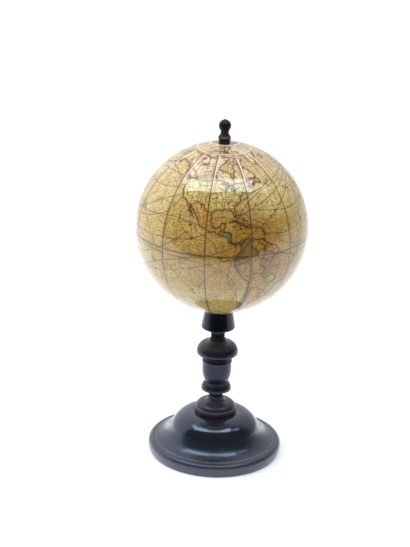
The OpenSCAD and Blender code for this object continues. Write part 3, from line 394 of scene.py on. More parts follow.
# The map's distances are in millimetres on a ball of this radius
BALL_MM = 60
MM_PER_DEGREE = 2 * pi * BALL_MM / 360
# Distances are drawn up to these: those from coasts and borders, and those from other lines
COAST_REACH, LINE_REACH = 8, 3
TROPIC, POLAR_CIRCLE = 23.46, 66.54


def unit_vectors(lon, lat):
    """Unit vectors towards these longitudes and latitudes in degrees."""
    lon, lat = np.radians(lon), np.radians(lat)
    return np.stack([np.cos(lat) * np.cos(lon), np.cos(lat) * np.sin(lon), np.sin(lat)], -1)


GRID_STEP = 0.5
GRID_LON = np.arange(-180, 180, GRID_STEP)
GRID_LAT = np.arange(-90, 90 + GRID_STEP, GRID_STEP)
GRID_UNIT = unit_vectors(*np.meshgrid(GRID_LON, GRID_LAT))


def read_points(text):
    """One array of longitude and latitude for each part of the text between semicolons."""
    return [np.array([[float(v) for v in pair.split(",")] for pair in part.split()]) for part in text.split(";")]


def crooked(line, closed, rng, reach=0.9, depth=0.17):
    """The line with its long stretches broken by small bays and headlands."""
    points = np.vstack([line, line[:1]]) if closed else line
    step = points[1:] - points[:-1]
    step[:, 0] = (step[:, 0] + 180) % 360 - 180
    out = []
    for start, run in zip(points[:-1], step):
        stretch = [start, start + run]
        squeeze = max(0.2, cos(radians(start[1])))
        while np.hypot(*(stretch[1] - stretch[0]) * (squeeze, 1)) > reach:
            finer = []
            for a, b in zip(stretch[:-1], stretch[1:]):
                across = np.array([-(b - a)[1] / squeeze, (b - a)[0] * squeeze])
                finer += [a, (a + b) / 2 + across * rng.uniform(-depth, depth)]
            stretch = finer + [stretch[-1]]
        out += stretch[:-1]
    if not closed:
        out.append(points[-1])
    return np.array(out)


def flowing(line, parts=6):
    """The line as a smooth curve through its points."""
    points = np.column_stack([np.degrees(np.unwrap(np.radians(line[:, 0]))), line[:, 1]])
    ends = np.vstack([2 * points[0] - points[1], points, 2 * points[-1] - points[-2]])
    t = np.arange(parts)[:, None] / parts
    curves = [(2 * b + (c - a) * t + (2 * a - 5 * b + 4 * c - d) * t ** 2 + (3 * b - a - 3 * c + d) * t ** 3) / 2
              for a, b, c, d in zip(ends, ends[1:], ends[2:], ends[3:])]
    return np.vstack(curves + [points[-1:]])


def nearest(lines, reach, closed=False):
    """Distance in millimetres from each point of the grid to the nearest of the lines, up to reach."""
    field = np.full(GRID_UNIT.shape[:2], float(reach))
    margin = reach / MM_PER_DEGREE
    for line in lines:
        ends = np.roll(line, -1, 0) if closed else line[1:]
        for a, b in zip(line[:len(ends)], ends):
            top = min(89.0, max(abs(a[1]), abs(b[1])) + margin)
            wide = min(180.0, margin / cos(radians(top)))
            near_b = a[0] + (b[0] - a[0] + 180) % 360 - 180
            rows = np.arange(max(0, int((min(a[1], b[1]) - margin + 90) / GRID_STEP)),
                             min(len(GRID_LAT), int((max(a[1], b[1]) + margin + 90) / GRID_STEP) + 2))
            first = int((min(a[0], near_b) - wide + 180) // GRID_STEP)
            last = int((max(a[0], near_b) + wide + 180) // GRID_STEP) + 2
            cells = np.ix_(rows, np.unique(np.arange(first, min(last, first + len(GRID_LON))) % len(GRID_LON)))
            p, q = unit_vectors(*a), unit_vectors(*b)
            along = (q - p) / max(1e-12, (q - p) @ (q - p))
            points = GRID_UNIT[cells]
            t = ((points - p) @ along).clip(0, 1)
            gap = np.linalg.norm(points - p - t[..., None] * (q - p), axis=-1) * BALL_MM
            field[cells] = np.minimum(field[cells], gap)
    return field


def inside(rings):
    """Which points of the grid lie inside an odd number of the rings."""
    land = np.zeros(GRID_UNIT.shape[:2], bool)
    for ring in rings:
        for (x0, y0), (x1, y1) in zip(ring, np.roll(ring, -1, 0)):
            rows = np.nonzero((GRID_LAT >= min(y0, y1)) & (GRID_LAT < max(y0, y1)))[0]
            if len(rows):
                x = x0 + (GRID_LAT[rows] - y0) * (x1 - x0) / (y1 - y0)
                for turn in (-360, 0, 360):
                    land[rows] ^= GRID_LON[None] >= x[:, None] + turn
    return land


def draw_coast(rng):
    """Distance from the coast in millimetres, negative at sea, and which points of the grid lie on land."""
    rings = [crooked(ring, True, rng) for ring in read_points(COASTS)]
    shore = nearest(rings, COAST_REACH, closed=True)
    land = inside(rings)
    coast = np.where(land, shore, -shore)
    islets = unit_vectors(*read_points(ISLETS)[0].T)
    for at, radius in zip(islets, rng.uniform(0.18, 0.42, len(islets))):
        coast = np.maximum(coast, radius - np.linalg.norm(GRID_UNIT - at, axis=-1) * BALL_MM)
    return coast, land


def share_out(land):
    """Number of the hand colour at each point of the grid, and the distance to the next colour in millimetres."""
    # Waves that the borders wander with
    wave = np.sin(GRID_UNIT @ np.array([[31, 17, 23], [13, 29, -19], [-23, 11, 37]]).T)
    spread = GRID_UNIT + 0.004 * wave[..., [1, 2, 0]] + 0.003 * np.sin(2.7 * wave)
    places = [read_points(where)[0] for _, _, where in LANDS.values()]
    owner = np.repeat(np.arange(len(places)), [len(points) for points in places])
    seeds = np.vstack([unit_vectors(*points.T) for points in places]).astype(np.float32)
    gap2 = ((spread[..., None, :].astype(np.float32) - seeds) ** 2).sum(-1)
    first, own = gap2.argmin(-1), gap2.min(-1)
    apart = np.linalg.norm(seeds[:, None] - seeds[None], axis=-1) + 1e-6
    border = np.full(first.shape, float(COAST_REACH))
    for other in range(len(seeds)):
        cut = (gap2[..., other] - own) / (2 * apart[first, other]) * BALL_MM
        border = np.where(owner[first] != owner[other], np.minimum(border, cut), border)
    return owner[first], np.where(land, border, COAST_REACH)


def draw_wash(coast, border, owner, edge_mm=0.75):
    """Colour of the washes: lands with stronger edges of the width edge_mm, and a darker sea along the coast."""
    fills, lines = (np.array([land[part] for land in LANDS.values()])[owner] for part in (0, 1))
    band = np.exp(-(np.minimum(coast.clip(0), border) / edge_mm) ** 1.8)[..., None] * 0.85
    body = fills * (1 - band) + lines * band
    sea = 1 - 0.30 * np.exp(-(coast.clip(None, 0) / edge_mm) ** 2)[..., None] * np.array([1, 0.85, 0.75])
    on_land = (coast / 0.35 + 0.5).clip(0, 1)[..., None]
    return sea * (1 - on_land) + body * on_land


@cache
def draw_map():
    """The map as fields on the grid: distances in millimetres, and the colour of the washes."""
    rng = np.random.default_rng(SEED)
    coast, land = draw_coast(rng)
    owner, border = share_out(land)
    fields = {"coast": coast, "border": border}
    for name, text, depth in (("river", RIVERS, 0.1), ("range", RANGES, 0.06), ("state", STATES, 0.03)):
        fields[name] = nearest([crooked(line, False, rng, depth=depth) for line in read_points(text)], LINE_REACH)
    fields["track"] = nearest([flowing(line) for line in read_points(TRACKS)], LINE_REACH)
    fields["wash"] = draw_wash(coast, border, owner)
    return fields


def mark(mesh, name, values):
    """An attribute of the mesh with one number, or one colour, for each vertex."""
    values = np.asarray(values, np.float32)
    kind, key = ("FLOAT", "value") if values.ndim == 1 else ("FLOAT_COLOR", "color")
    mesh.attributes.new(name, kind, "POINT").data.foreach_set(key, values.ravel())


def write_map(mesh, height):
    """Mark each vertex of a paper with the map's fields at its own place."""
    at = np.empty(len(mesh.vertices) * 3, np.float32)
    mesh.vertices.foreach_get("co", at)
    at = at.reshape(-1, 3) - (0, 0, height)
    lat = np.degrees(np.arcsin((at[:, 2] / np.linalg.norm(at, axis=1)).clip(-1, 1)))
    lon = np.degrees(np.arctan2(at[:, 1], at[:, 0]))
    column, row = (lon + 180) / GRID_STEP, (lat + 90) / GRID_STEP
    c0, r0 = np.floor(column).astype(int), np.floor(row).astype(int).clip(0, len(GRID_LAT) - 2)
    u, v = (column - c0)[:, None], (row - r0)[:, None]
    west, east = c0 % len(GRID_LON), (c0 + 1) % len(GRID_LON)
    for name, field in draw_map().items():
        field = field.reshape(*GRID_UNIT.shape[:2], -1)
        south, north = (field[r, west] * (1 - u) + field[r, east] * u for r in (r0, r0 + 1))
        value = south * (1 - v) + north * v
        if value.shape[1] == 1:
            mark(mesh, name, value[:, 0])
        else:
            mark(mesh, name, np.hstack([value, np.ones_like(u)]))


# Node trees


def rgba(value):
    """A colour with its alpha; a socket stays as it is."""
    return value if isinstance(value, bpy.types.NodeSocket) else (*tuple(value)[:3], 1)


class Nodes:
    """Short calls for the nodes of one tree. They take numbers and sockets, and most give back a socket."""

    def __init__(self, tree):
        self.tree = tree

    def add(self, kind, inputs=(), **settings):
        """A node of this kind; each input takes a number, a colour or the socket of another node."""
        node = self.tree.nodes.new(kind)
        for name, value in settings.items():
            setattr(node, name, value)
        for name, value in dict(inputs).items():
            if isinstance(value, bpy.types.NodeSocket):
                self.tree.links.new(value, node.inputs[name])
            else:
                node.inputs[name].default_value = value
        return node

    def math(self, operation, *values, clamp=False):
        return self.add("ShaderNodeMath", enumerate(values), operation=operation, use_clamp=clamp).outputs[0]

    def chain(self, operation, *values, clamp=False):
        """The operation on the first two values, then on the result and the next value, and so on."""
        return reduce(lambda a, b: self.math(operation, a, b, clamp=clamp), values)

    def times(self, *values):
        return self.chain("MULTIPLY", *values)

    def plus(self, *values, clamp=False):
        return self.chain("ADD", *values, clamp=clamp)

    def most(self, *values):
        """The largest of the values."""
        return self.chain("MAXIMUM", *values)

    def minus(self, value, less):
        return self.math("SUBTRACT", value, less)

    def absolute(self, value):
        return self.math("ABSOLUTE", value)

    def off(self, value, at):
        """How far the value is from another one."""
        return self.absolute(self.minus(value, at))

    def vector(self, operation, *values, output=0):
        return self.add("ShaderNodeVectorMath", enumerate(values), operation=operation).outputs[output]

    def split(self, vector):
        """The x, y and z of a vector."""
        return self.add("ShaderNodeSeparateXYZ", {0: vector}).outputs[:3]

    def join(self, *values):
        """A vector from its x, y and z."""
        return self.add("ShaderNodeCombineXYZ", enumerate(values)).outputs[0]

    def mix(self, factor, a, b, blend="MIX"):
        return self.add("ShaderNodeMix", {0: factor, 6: rgba(a), 7: rgba(b)}, data_type="RGBA",
                        blend_type=blend).outputs[2]

    def layers(self, base, *layers):
        """The base colour under layers, each with its mask and its colour, from the lowest up."""
        return reduce(lambda under, layer: self.mix(layer[0], under, layer[1]), layers, base)

    def noise(self, vector, scale, detail=4.0, roughness=0.55, distortion=0.0):
        return self.add("ShaderNodeTexNoise", {"Vector": vector, "Scale": scale, "Detail": detail,
                                               "Roughness": roughness, "Distortion": distortion}).outputs["Fac"]

    def between(self, value, low, high, to_low=0.0, to_high=1.0):
        """value from low to high, as to_low to to_high, and no further."""
        return self.add("ShaderNodeMapRange", {0: value, 1: low, 2: high, 3: to_low, 4: to_high}).outputs[0]

    def stroke(self, distance, half, soft=0.09):
        """A line of this half width, with soft edges, where the distance from its middle is known."""
        return self.between(distance, half, half + soft, 1, 0)

    def attribute(self, name, output="Fac"):
        return self.add("ShaderNodeAttribute", attribute_name=name).outputs[output]

    def place(self, stretch=(1, 1, 1)):
        """Object coordinates in metres, times stretch along each axis."""
        here = self.add("ShaderNodeTexCoord").outputs["Object"]
        return self.add("ShaderNodeMapping", {"Vector": here, "Scale": stretch}).outputs[0]

    def bump(self, height, distance, strength=1.0):
        return self.add("ShaderNodeBump", {"Height": height, "Distance": distance, "Strength": strength}).outputs[0]

    def surface(self, **inputs):
        """The Principled shader, with its inputs by name, an underscore for each space."""
        shader = self.add("ShaderNodeBsdfPrincipled", {k.replace("_", " "): v for k, v in inputs.items()})
        self.add("ShaderNodeOutputMaterial", {"Surface": shader.outputs[0]})


def new_material(name):
    """An empty material, with the short calls for its nodes."""
    material = bpy.data.materials.new(name)
    material.use_nodes = True
    material.node_tree.nodes.clear()
    return material, Nodes(material.node_tree)


def on_ball(n, height):
    """Where a point of the ball is: ray from the middle, longitude, latitude, latitude in mm, size of its parallel."""
    ray = n.vector("NORMALIZE", n.vector("SUBTRACT", n.place(), (0, 0, height)))
    x, y, z = n.split(ray)
    lat = n.math("DEGREES", n.math("ARCSINE", z))
    return SimpleNamespace(ray=ray, lon=n.math("DEGREES", n.math("ARCTAN2", y, x)), lat=lat,
                           lat_mm=n.times(lat, MM_PER_DEGREE), narrow=n.math("SQRT", n.minus(1, n.times(z, z))))


def print_mask(n, place, at):
    """Where the ink is: grid, circles, coasts, rivers, borders, hills, tracks, towns and specks of fine print."""
    coast = n.attribute("coast")
    on_land, at_sea = n.between(coast, 0, 0.2), n.between(coast, -0.3, -0.8)
    meridians = n.times(n.math("PINGPONG", at.lon, 5), at.narrow, MM_PER_DEGREE)
    parallels = n.times(n.math("PINGPONG", at.lat, 5), MM_PER_DEGREE)
    grid = n.times(n.stroke(n.math("MINIMUM", meridians, parallels), 0.09), 0.68)
    # The equator is a double line over a scale of degrees, every other one black
    degrees_black = n.times(n.math("GREATER_THAN", n.math("PINGPONG", at.lon, 1), 0.5),
                            n.math("LESS_THAN", at.lat_mm, -0.4), n.math("GREATER_THAN", at.lat_mm, -1.1))
    equator = n.most(n.stroke(n.off(n.absolute(at.lat_mm), 0.26), 0.14, 0.08),
                     n.times(n.stroke(n.off(at.lat_mm, -1.1), 0.05), 0.7), n.times(degrees_black, 0.35))
    circles = []
    for latitude, dash in ((TROPIC, 0.8), (POLAR_CIRCLE, 1.6)):
        gap = n.times(n.off(n.absolute(at.lat), latitude), MM_PER_DEGREE)
        dashes = n.math("GREATER_THAN", n.math("PINGPONG", at.lon, dash), dash * 0.4)
        circles.append(n.times(n.stroke(gap, 0.11), dashes, 0.85))
    # The sun's path touches the southern tropic at 90 degrees west
    path = n.times(n.math("COSINE", n.math("RADIANS", n.plus(at.lon, 90))), -TROPIC)
    ecliptic = n.times(n.stroke(n.times(n.off(at.lat, n.minus(path, 1.4)), MM_PER_DEGREE * 0.95), 0.12), 0.8)
    shoreline = n.stroke(n.absolute(coast), 0.24, 0.20)
    # Name, half width, where, strength
    lines = [n.times(n.stroke(n.attribute(name), half, 0.16), where, strength) for name, half, where, strength in (
        ("river", 0.18, on_land, 0.9), ("border", 0.24, on_land, 0.95), ("state", 0.20, on_land, 0.80),
        ("track", 0.24, at_sea, 0.88))]
    hachures = n.between(n.noise(place, 1500, 1, 0.5, 1.5), 0.45, 0.56)
    hills = n.times(n.between(n.attribute("range"), 0.35, 1.1, 1, 0), hachures, on_land, 0.85)
    cells = n.add("ShaderNodeTexVoronoi", {"Vector": place, "Scale": 520.0}).outputs
    rare = n.math("GREATER_THAN", n.split(cells["Color"])[0], n.between(coast, -0.5, 0.5, 0.74, 0.28))
    towns = n.times(n.between(cells["Distance"], 0.17, 0.27, 1, 0), rare)
    waterlines = n.times(n.between(n.math("PINGPONG", coast, 0.26), 0.04, 0.11, 1, 0),
                         n.between(coast, -1.8, -0.5, 0, 0.6), n.between(coast, -0.24, -0.32))
    chart = n.join(n.times(at.lon, at.narrow, MM_PER_DEGREE * 0.45), at.lat_mm)
    fine_print = n.times(n.between(n.noise(chart, 1.15, 3, 0.65), 0.545, 0.62), 0.92)
    printed = n.most(grid, *circles, ecliptic, shoreline, *lines, hills, towns, waterlines, fine_print)
    uneven = n.between(n.noise(place, 260, 3, 0.6), 0.30, 0.62, 0.62, 1)
    return n.times(n.most(n.times(printed, uneven), equator), 0.97)


# Patches of varnish that faded or browned on their own: longitude, half width, latitude, half height, change
PATCHES = ((-50, 25, 36, 18, -0.36), (-112, 20, 20, 16, -0.15), (-72, 15, 12, 10, 0.24))


def varnish_age(n, at, broad, middle):
    """How far the varnish has browned, from 0 to 1: most on the front of the ball, towards -Y and a little up."""
    front_way = (0.05, -0.975, 0.22)
    facing_front = n.vector("DOT_PRODUCT", at.ray, front_way, output="Value")
    clouds = n.plus(n.times(n.between(broad, 0.32, 0.68), 0.28), n.times(n.between(middle, 0.32, 0.68), 0.40))
    changes = [n.between(facing_front, 0.70, 0.97, 0, 0.58),
               n.between(at.lat, -34, -42, 0, -0.12),
               n.between(at.lat, 45, 68, 0, 0.38),
               n.times(n.between(n.off(at.lon, -42), 30, 14), n.between(at.lat, 32, 8), 0.28)]
    changes += [n.times(n.between(n.off(at.lon, lon), wide, wide / 3), n.between(n.off(at.lat, lat), tall, tall / 3),
                        change) for lon, wide, lat, tall, change in PATCHES]
    return n.plus(clouds, *changes, clamp=True)


def paper_joints(n, place, at, ball):
    """Masks beside the joints of the papers: brown haze; pale strips east of the gore joints and a painted highlight on
    the caps' edges; dirt in the gore joints and a painted shadow under the caps' edges; and the distance from a joint
    in mm.
    """
    from_first = n.minus(at.lon, degrees(ball.first_gore))
    width, cap_lat = 360 / ball.gores, degrees(ball.cap_edge)
    east = n.times(n.math("WRAP", from_first, width, 0), at.narrow, MM_PER_DEGREE)
    joint = n.times(n.math("PINGPONG", from_first, width / 2), at.narrow, MM_PER_DEGREE)
    cap_gap = n.minus(n.absolute(at.lat_mm), cap_lat * MM_PER_DEGREE)
    gores = n.math("LESS_THAN", n.absolute(at.lat), cap_lat)
    patchy = n.between(n.noise(place, 120, 3), 0.3, 0.7, 0.72, 1)
    haze = n.times(n.between(joint, 0.3, 3.2, 0.62, 0), n.between(n.noise(place, 180, 3), 0.35, 0.7))
    # Pale strips east of the gore joints, stronger to the north; on the caps, a painted highlight along their raised
    # edge
    pale_strip_and_highlight = n.most(n.times(n.stroke(n.off(east, 0.85), 0.38, 0.30), gores, n.between(at.lat, 42, 54, 0.05, 0.85)),
                  n.times(n.stroke(n.off(cap_gap, 0.6), 0.26, 0.28), 0.7))
    # Dirt in the gore joints; beside the caps' edges, a painted shadow
    dirt_and_painted_shadow = n.most(n.times(n.stroke(joint, 0.26, 0.34), gores),
                  n.times(n.stroke(n.off(cap_gap, -0.12), 0.14, 0.22), 0.6))
    return haze, n.times(pale_strip_and_highlight, patchy), n.times(dirt_and_painted_shadow, patchy, 0.95), n.math("MINIMUM", joint, n.absolute(cap_gap))


def printed_paper(name, ball, look, torn=False):
    """Aged, varnished map paper: print, washes and grid, with dirt along the joints, a painted highlight and a painted
    shadow at the caps' edges, and scuffs down to the paper.
    """
    material, n = new_material(name)
    place, at = n.place(), on_ball(n, ball.height)
    blot = n.noise(place, 900, 3, 0.6)
    broad = n.noise(place, 14, 3, 0.55, 0.4)
    middle = n.noise(place, 60, 4, 0.6, 0.6)
    on_land = n.between(n.attribute("coast"), 0, 0.2)
    faded = n.plus(n.between(at.lat, 20, 42, 0, 0.20), n.between(at.lat, 70, 73, 0, 0.14))
    paper = n.layers(look.paper, (varnish_age(n, at, broad, middle), look.varnish),
                     (n.times(on_land, n.between(at.lat, 26, 46, 0.08, 0.66)), look.body), (faded, look.body))
    paper = n.mix(0.95, paper, n.attribute("wash", "Color"), "MULTIPLY")
    soiled = n.times(n.between(n.noise(place, 210, 5, 0.7, 0.8), 0.46, 0.66), 0.46)
    blotted = n.times(n.between(blot, 0.35, 0.72), 0.50)
    haze, pale_strip_and_highlight, dirt_and_painted_shadow, joint = paper_joints(n, place, at, ball)
    scuff = n.times(n.between(n.noise(place, 420, 5, 0.7, 1.2), 0.66, 0.72), n.between(middle, 0.5, 0.62))
    fly_specks = n.between(n.noise(place, 1500, 1, 0.5), 0.72, 0.75)
    # The pale strips and the grime also lay a painted highlight and a painted shadow along the caps' edges
    paper = n.layers(paper, (soiled, look.stain), (blotted, look.grime_and_painted_shadow), (print_mask(n, place, at), look.ink),
                     (haze, look.stain), (pale_strip_and_highlight, look.torn), (dirt_and_painted_shadow, look.grime_and_painted_shadow), (n.times(scuff, 0.6), look.torn),
                     (n.times(fly_specks, 0.75), look.grime_and_painted_shadow))
    if torn:
        ragged = n.plus(n.attribute("rip"), n.times(n.minus(blot, 0.5), 1.2))
        paper = n.mix(n.between(ragged, 0.6, 1.1, 1, 0), paper, look.torn)
    rough = n.plus(n.between(broad, 0.3, 0.7, 0.34, 0.48), n.times(scuff, 0.3), clamp=True)
    wrinkle = n.plus(n.times(n.noise(place, 55, 3, 0.5), 0.75), n.times(blot, 0.03))
    relief = n.plus(wrinkle, n.between(joint, 0.1, 0.5, 0, 0.25))
    n.surface(Base_Color=paper, Roughness=rough, Normal=n.bump(relief, 0.0005, 0.25), Specular_IOR_Level=0.15,
              Coat_Weight=1.0, Coat_Roughness=0.06, Coat_IOR=1.6, Coat_Normal=n.bump(relief, 0.0005, 0.20))
    return material


def polished_wood(name, body, look, gloss, shine, coat, tint, dust_and_sheen_amount=0.1, low=None, low_tone=(0, 0, 0), low_rough=0.0,
                  neck=0.0, edge=None, high=None, blend=0.001):
    """French-polished, stained wood, rubbed on its edges and dusty in its quirks.

    Below the height low the finish differs, inside the radius neck it is dull, along the height edge a pale line is a
    painted highlight, and above the height high the polish is sharp, over a change of the width blend. A pale film on
    what looks up is dust and painted sheen.
    """
    material, n = new_material(name)
    place = n.place()
    x, y, z = n.split(place)
    wear, pocket = n.attribute("wear"), n.attribute("pocket")
    fibre = n.noise(n.place(stretch=(1, 1, 0.14)), 1500, 5, 0.6, 0.4)
    cloud = n.noise(place, 55, 4, 0.6, 0.5)
    chips = n.noise(place, 420, 4, 0.65, 0.6)
    worn = n.between(n.plus(n.times(wear, 0.62), n.times(chips, 0.55)), 0.66, 0.84)
    worn = n.times(worn, n.between(cloud, 0.35, 0.6, 0.25, 1))
    up = n.split(n.add("ShaderNodeNewGeometry").outputs["Normal"])[2]
    # Dust and painted sheen: a pale film on faces that look up, lighter as if lit from above
    dust_and_sheen_film = n.times(n.between(up, 0.15, 0.85), n.between(cloud, 0.3, 0.7, 0.6 * dust_and_sheen_amount, 1.4 * dust_and_sheen_amount))
    base = n.layers(body, (n.between(fibre, 0.45, 0.75, 0, 0.12), look.rubbed), (dust_and_sheen_film, look.dust_and_painted_light))
    rough = n.between(cloud, 0.3, 0.7, gloss - 0.03, gloss + 0.07)
    if low:
        below = n.between(z, low, low + 0.0002, 1, 0)
        kept = n.minus(1, n.times(below, 0.85))
        worn, pocket = n.times(worn, kept), n.times(pocket, kept)
        base = n.layers(base, (n.times(below, n.between(chips, 0.3, 0.7, 0.55, 1)), low_tone),
                        (n.times(below, n.between(cloud, 0.50, 0.66, 0, 0.7)), look.rubbed))
        rough = n.plus(rough, n.times(below, low_rough))
    if high:
        rough = n.minus(rough, n.between(z, high, high + blend, 0, 0.15))
    if neck:
        from_axis = n.vector("LENGTH", n.join(x, y), output="Value")
        rough = n.plus(rough, n.times(n.between(from_axis, neck - 0.0004, neck + 0.0012, 1, 0), 0.35))
    nick = n.between(n.noise(place, 650, 2, 0.5, 2.5), 0.71, 0.74)
    dust_and_highlight_line = n.times(pocket, n.between(n.noise(place, 500, 3), 0.35, 0.65, 0.10, 0.45))
    # Painted highlight: a pale line along the height edge, laid in the same layer as the dust in the quirks
    if edge:
        painted_highlight_line = n.between(n.off(z, edge), 0.00008, 0.00026, 1, 0)
        dust_and_highlight_line = n.most(dust_and_highlight_line, n.times(painted_highlight_line, n.between(cloud, 0.3, 0.6, 0.25, 0.75)))
    base = n.layers(base, (worn, look.rubbed), (n.times(nick, 0.25), look.dust_and_painted_light), (dust_and_highlight_line, look.dust_and_painted_light))
    rough = n.plus(rough, n.times(worn, 0.22), n.times(dust_and_highlight_line, 0.35), clamp=True)
    tool = n.noise(n.place(stretch=(0.02, 0.02, 1)), 900, 2, 0.5)
    relief = n.plus(n.times(fibre, 0.12), n.times(tool, 0.45), n.times(n.noise(place, 30, 3, 0.5), 1.2))
    normal = n.bump(n.minus(relief, n.times(nick, 0.2)), 0.0003, 0.22)
    n.surface(Base_Color=base, Roughness=rough, Normal=normal, Specular_IOR_Level=shine, Specular_Tint=rgba(tint),
              Coat_Weight=coat, Coat_Roughness=0.09, Coat_IOR=1.5, Coat_Normal=normal)
    return material


def metal(name, base, dull, rough=0.42):
    """Plain old metal with stains."""
    material, n = new_material(name)
    stain = n.between(n.noise(n.place(), 420, 5, 0.65, 0.8), 0.38, 0.66)
    scratch = n.noise(n.place(stretch=(1, 1, 0.1)), 2500, 3, 0.6)
    n.surface(Base_Color=n.mix(stain, base, dull), Metallic=1.0, Normal=n.bump(scratch, 0.00008, 0.5),
              Roughness=n.between(stain, 0, 1, rough, rough + 0.25))
    return material


def raw(name, light, dark, scale, stretch=(1, 1, 1), rough=0.8):
    """Plain unpolished stuff, such as pasteboard, linen or raw wood."""
    material, n = new_material(name)
    grain = n.noise(n.place(stretch=stretch), scale, 5, 0.6, 0.3)
    stain = n.noise(n.place(), 90, 3, 0.6)
    base = n.layers(light, (n.between(grain, 0.35, 0.65), dark), (n.between(stain, 0.5, 0.75, 0, 0.35), dark))
    n.surface(Base_Color=base, Roughness=n.between(grain, 0.3, 0.7, rough - 0.08, rough + 0.1),
              Normal=n.bump(grain, 0.0002, 0.5))
    return material


def old_plaster(name, height, look):
    """Plaster under the paper: grey where the cap is torn away, brown with dirt in the joints."""
    shade, spots, soiled = (0.27, 0.24, 0.22), (0.13, 0.10, 0.085), (0.13, 0.075, 0.035)
    material, n = new_material(name)
    place = n.place()
    grain = n.noise(place, 700, 5, 0.65)
    torn_from = height + 0.0570
    bare = n.between(n.split(place)[2], torn_from, torn_from + 0.0005)
    grey = n.layers(look.plaster, (n.between(grain, 0.35, 0.65), shade),
                    (n.between(n.noise(place, 230, 4, 0.6, 0.8), 0.48, 0.62, 0, 0.7), spots))
    n.surface(Base_Color=n.mix(bare, soiled, grey), Roughness=n.between(grain, 0.3, 0.7, 0.7, 0.9),
              Normal=n.bump(grain, 0.0003, 0.6))
    return material


# Meshes

# Points of an outline that are nearer than this, in millimetres, are one
SAME_PLACE = 1e-6


def arc(c, r, start, end, steps=40):
    """Points along an arc round c, from one angle to another in degrees."""
    return [(c[0] + r * cos(radians(start + (end - start) * i / steps)),
             c[1] + r * sin(radians(start + (end - start) * i / steps))) for i in range(steps + 1)]


def base_outline(d):
    """Section of the base in millimetres: recess, rim bead, quirk, hollow flare and dome."""
    quirk_w, quirk_h, flare_w, step_r = 0.9, 0.7, 2.7, 15.6
    rim_r, floor_r = d.base_d / 2, d.base_floor_d / 2
    low_arc = ((rim_r - floor_r) ** 2 + d.rim_mid_z ** 2) / (2 * (rim_r - floor_r))
    top = d.rim_mid_z + d.rim_arc
    quirk_r = rim_r - d.rim_arc - quirk_w
    dome = (step_r, d.base_h - d.dome_arc)
    flare_x = quirk_r + flare_w
    flare_arc = (((flare_x - step_r) ** 2 + (top - dome[1]) ** 2 - d.dome_arc ** 2)
                 / (2 * (d.dome_arc + dome[1] - top)))
    flare = (flare_x, top + flare_arc)
    slope = degrees(atan2(flare[1] - dome[1], flare[0] - dome[0]))
    return ([(d.tenon_d / 2, d.recess_h), (d.recess_d / 2 - 1, d.recess_h), (d.recess_d / 2, 0)]
            + arc((rim_r - low_arc, d.rim_mid_z), low_arc, -degrees(asin(d.rim_mid_z / low_arc)), 0, 16)
            + arc((rim_r - d.rim_arc, d.rim_mid_z), d.rim_arc, 0, 100, 24)[1:]
            + [(quirk_r + 0.1, top - quirk_h)]
            + arc(flare, flare_arc, -90 - degrees(asin((flare_x - quirk_r) / flare_arc)), slope - 180)
            + arc(dome, d.dome_arc, slope, 90)[1:]
            + [(d.tenon_d / 2, d.base_h)])


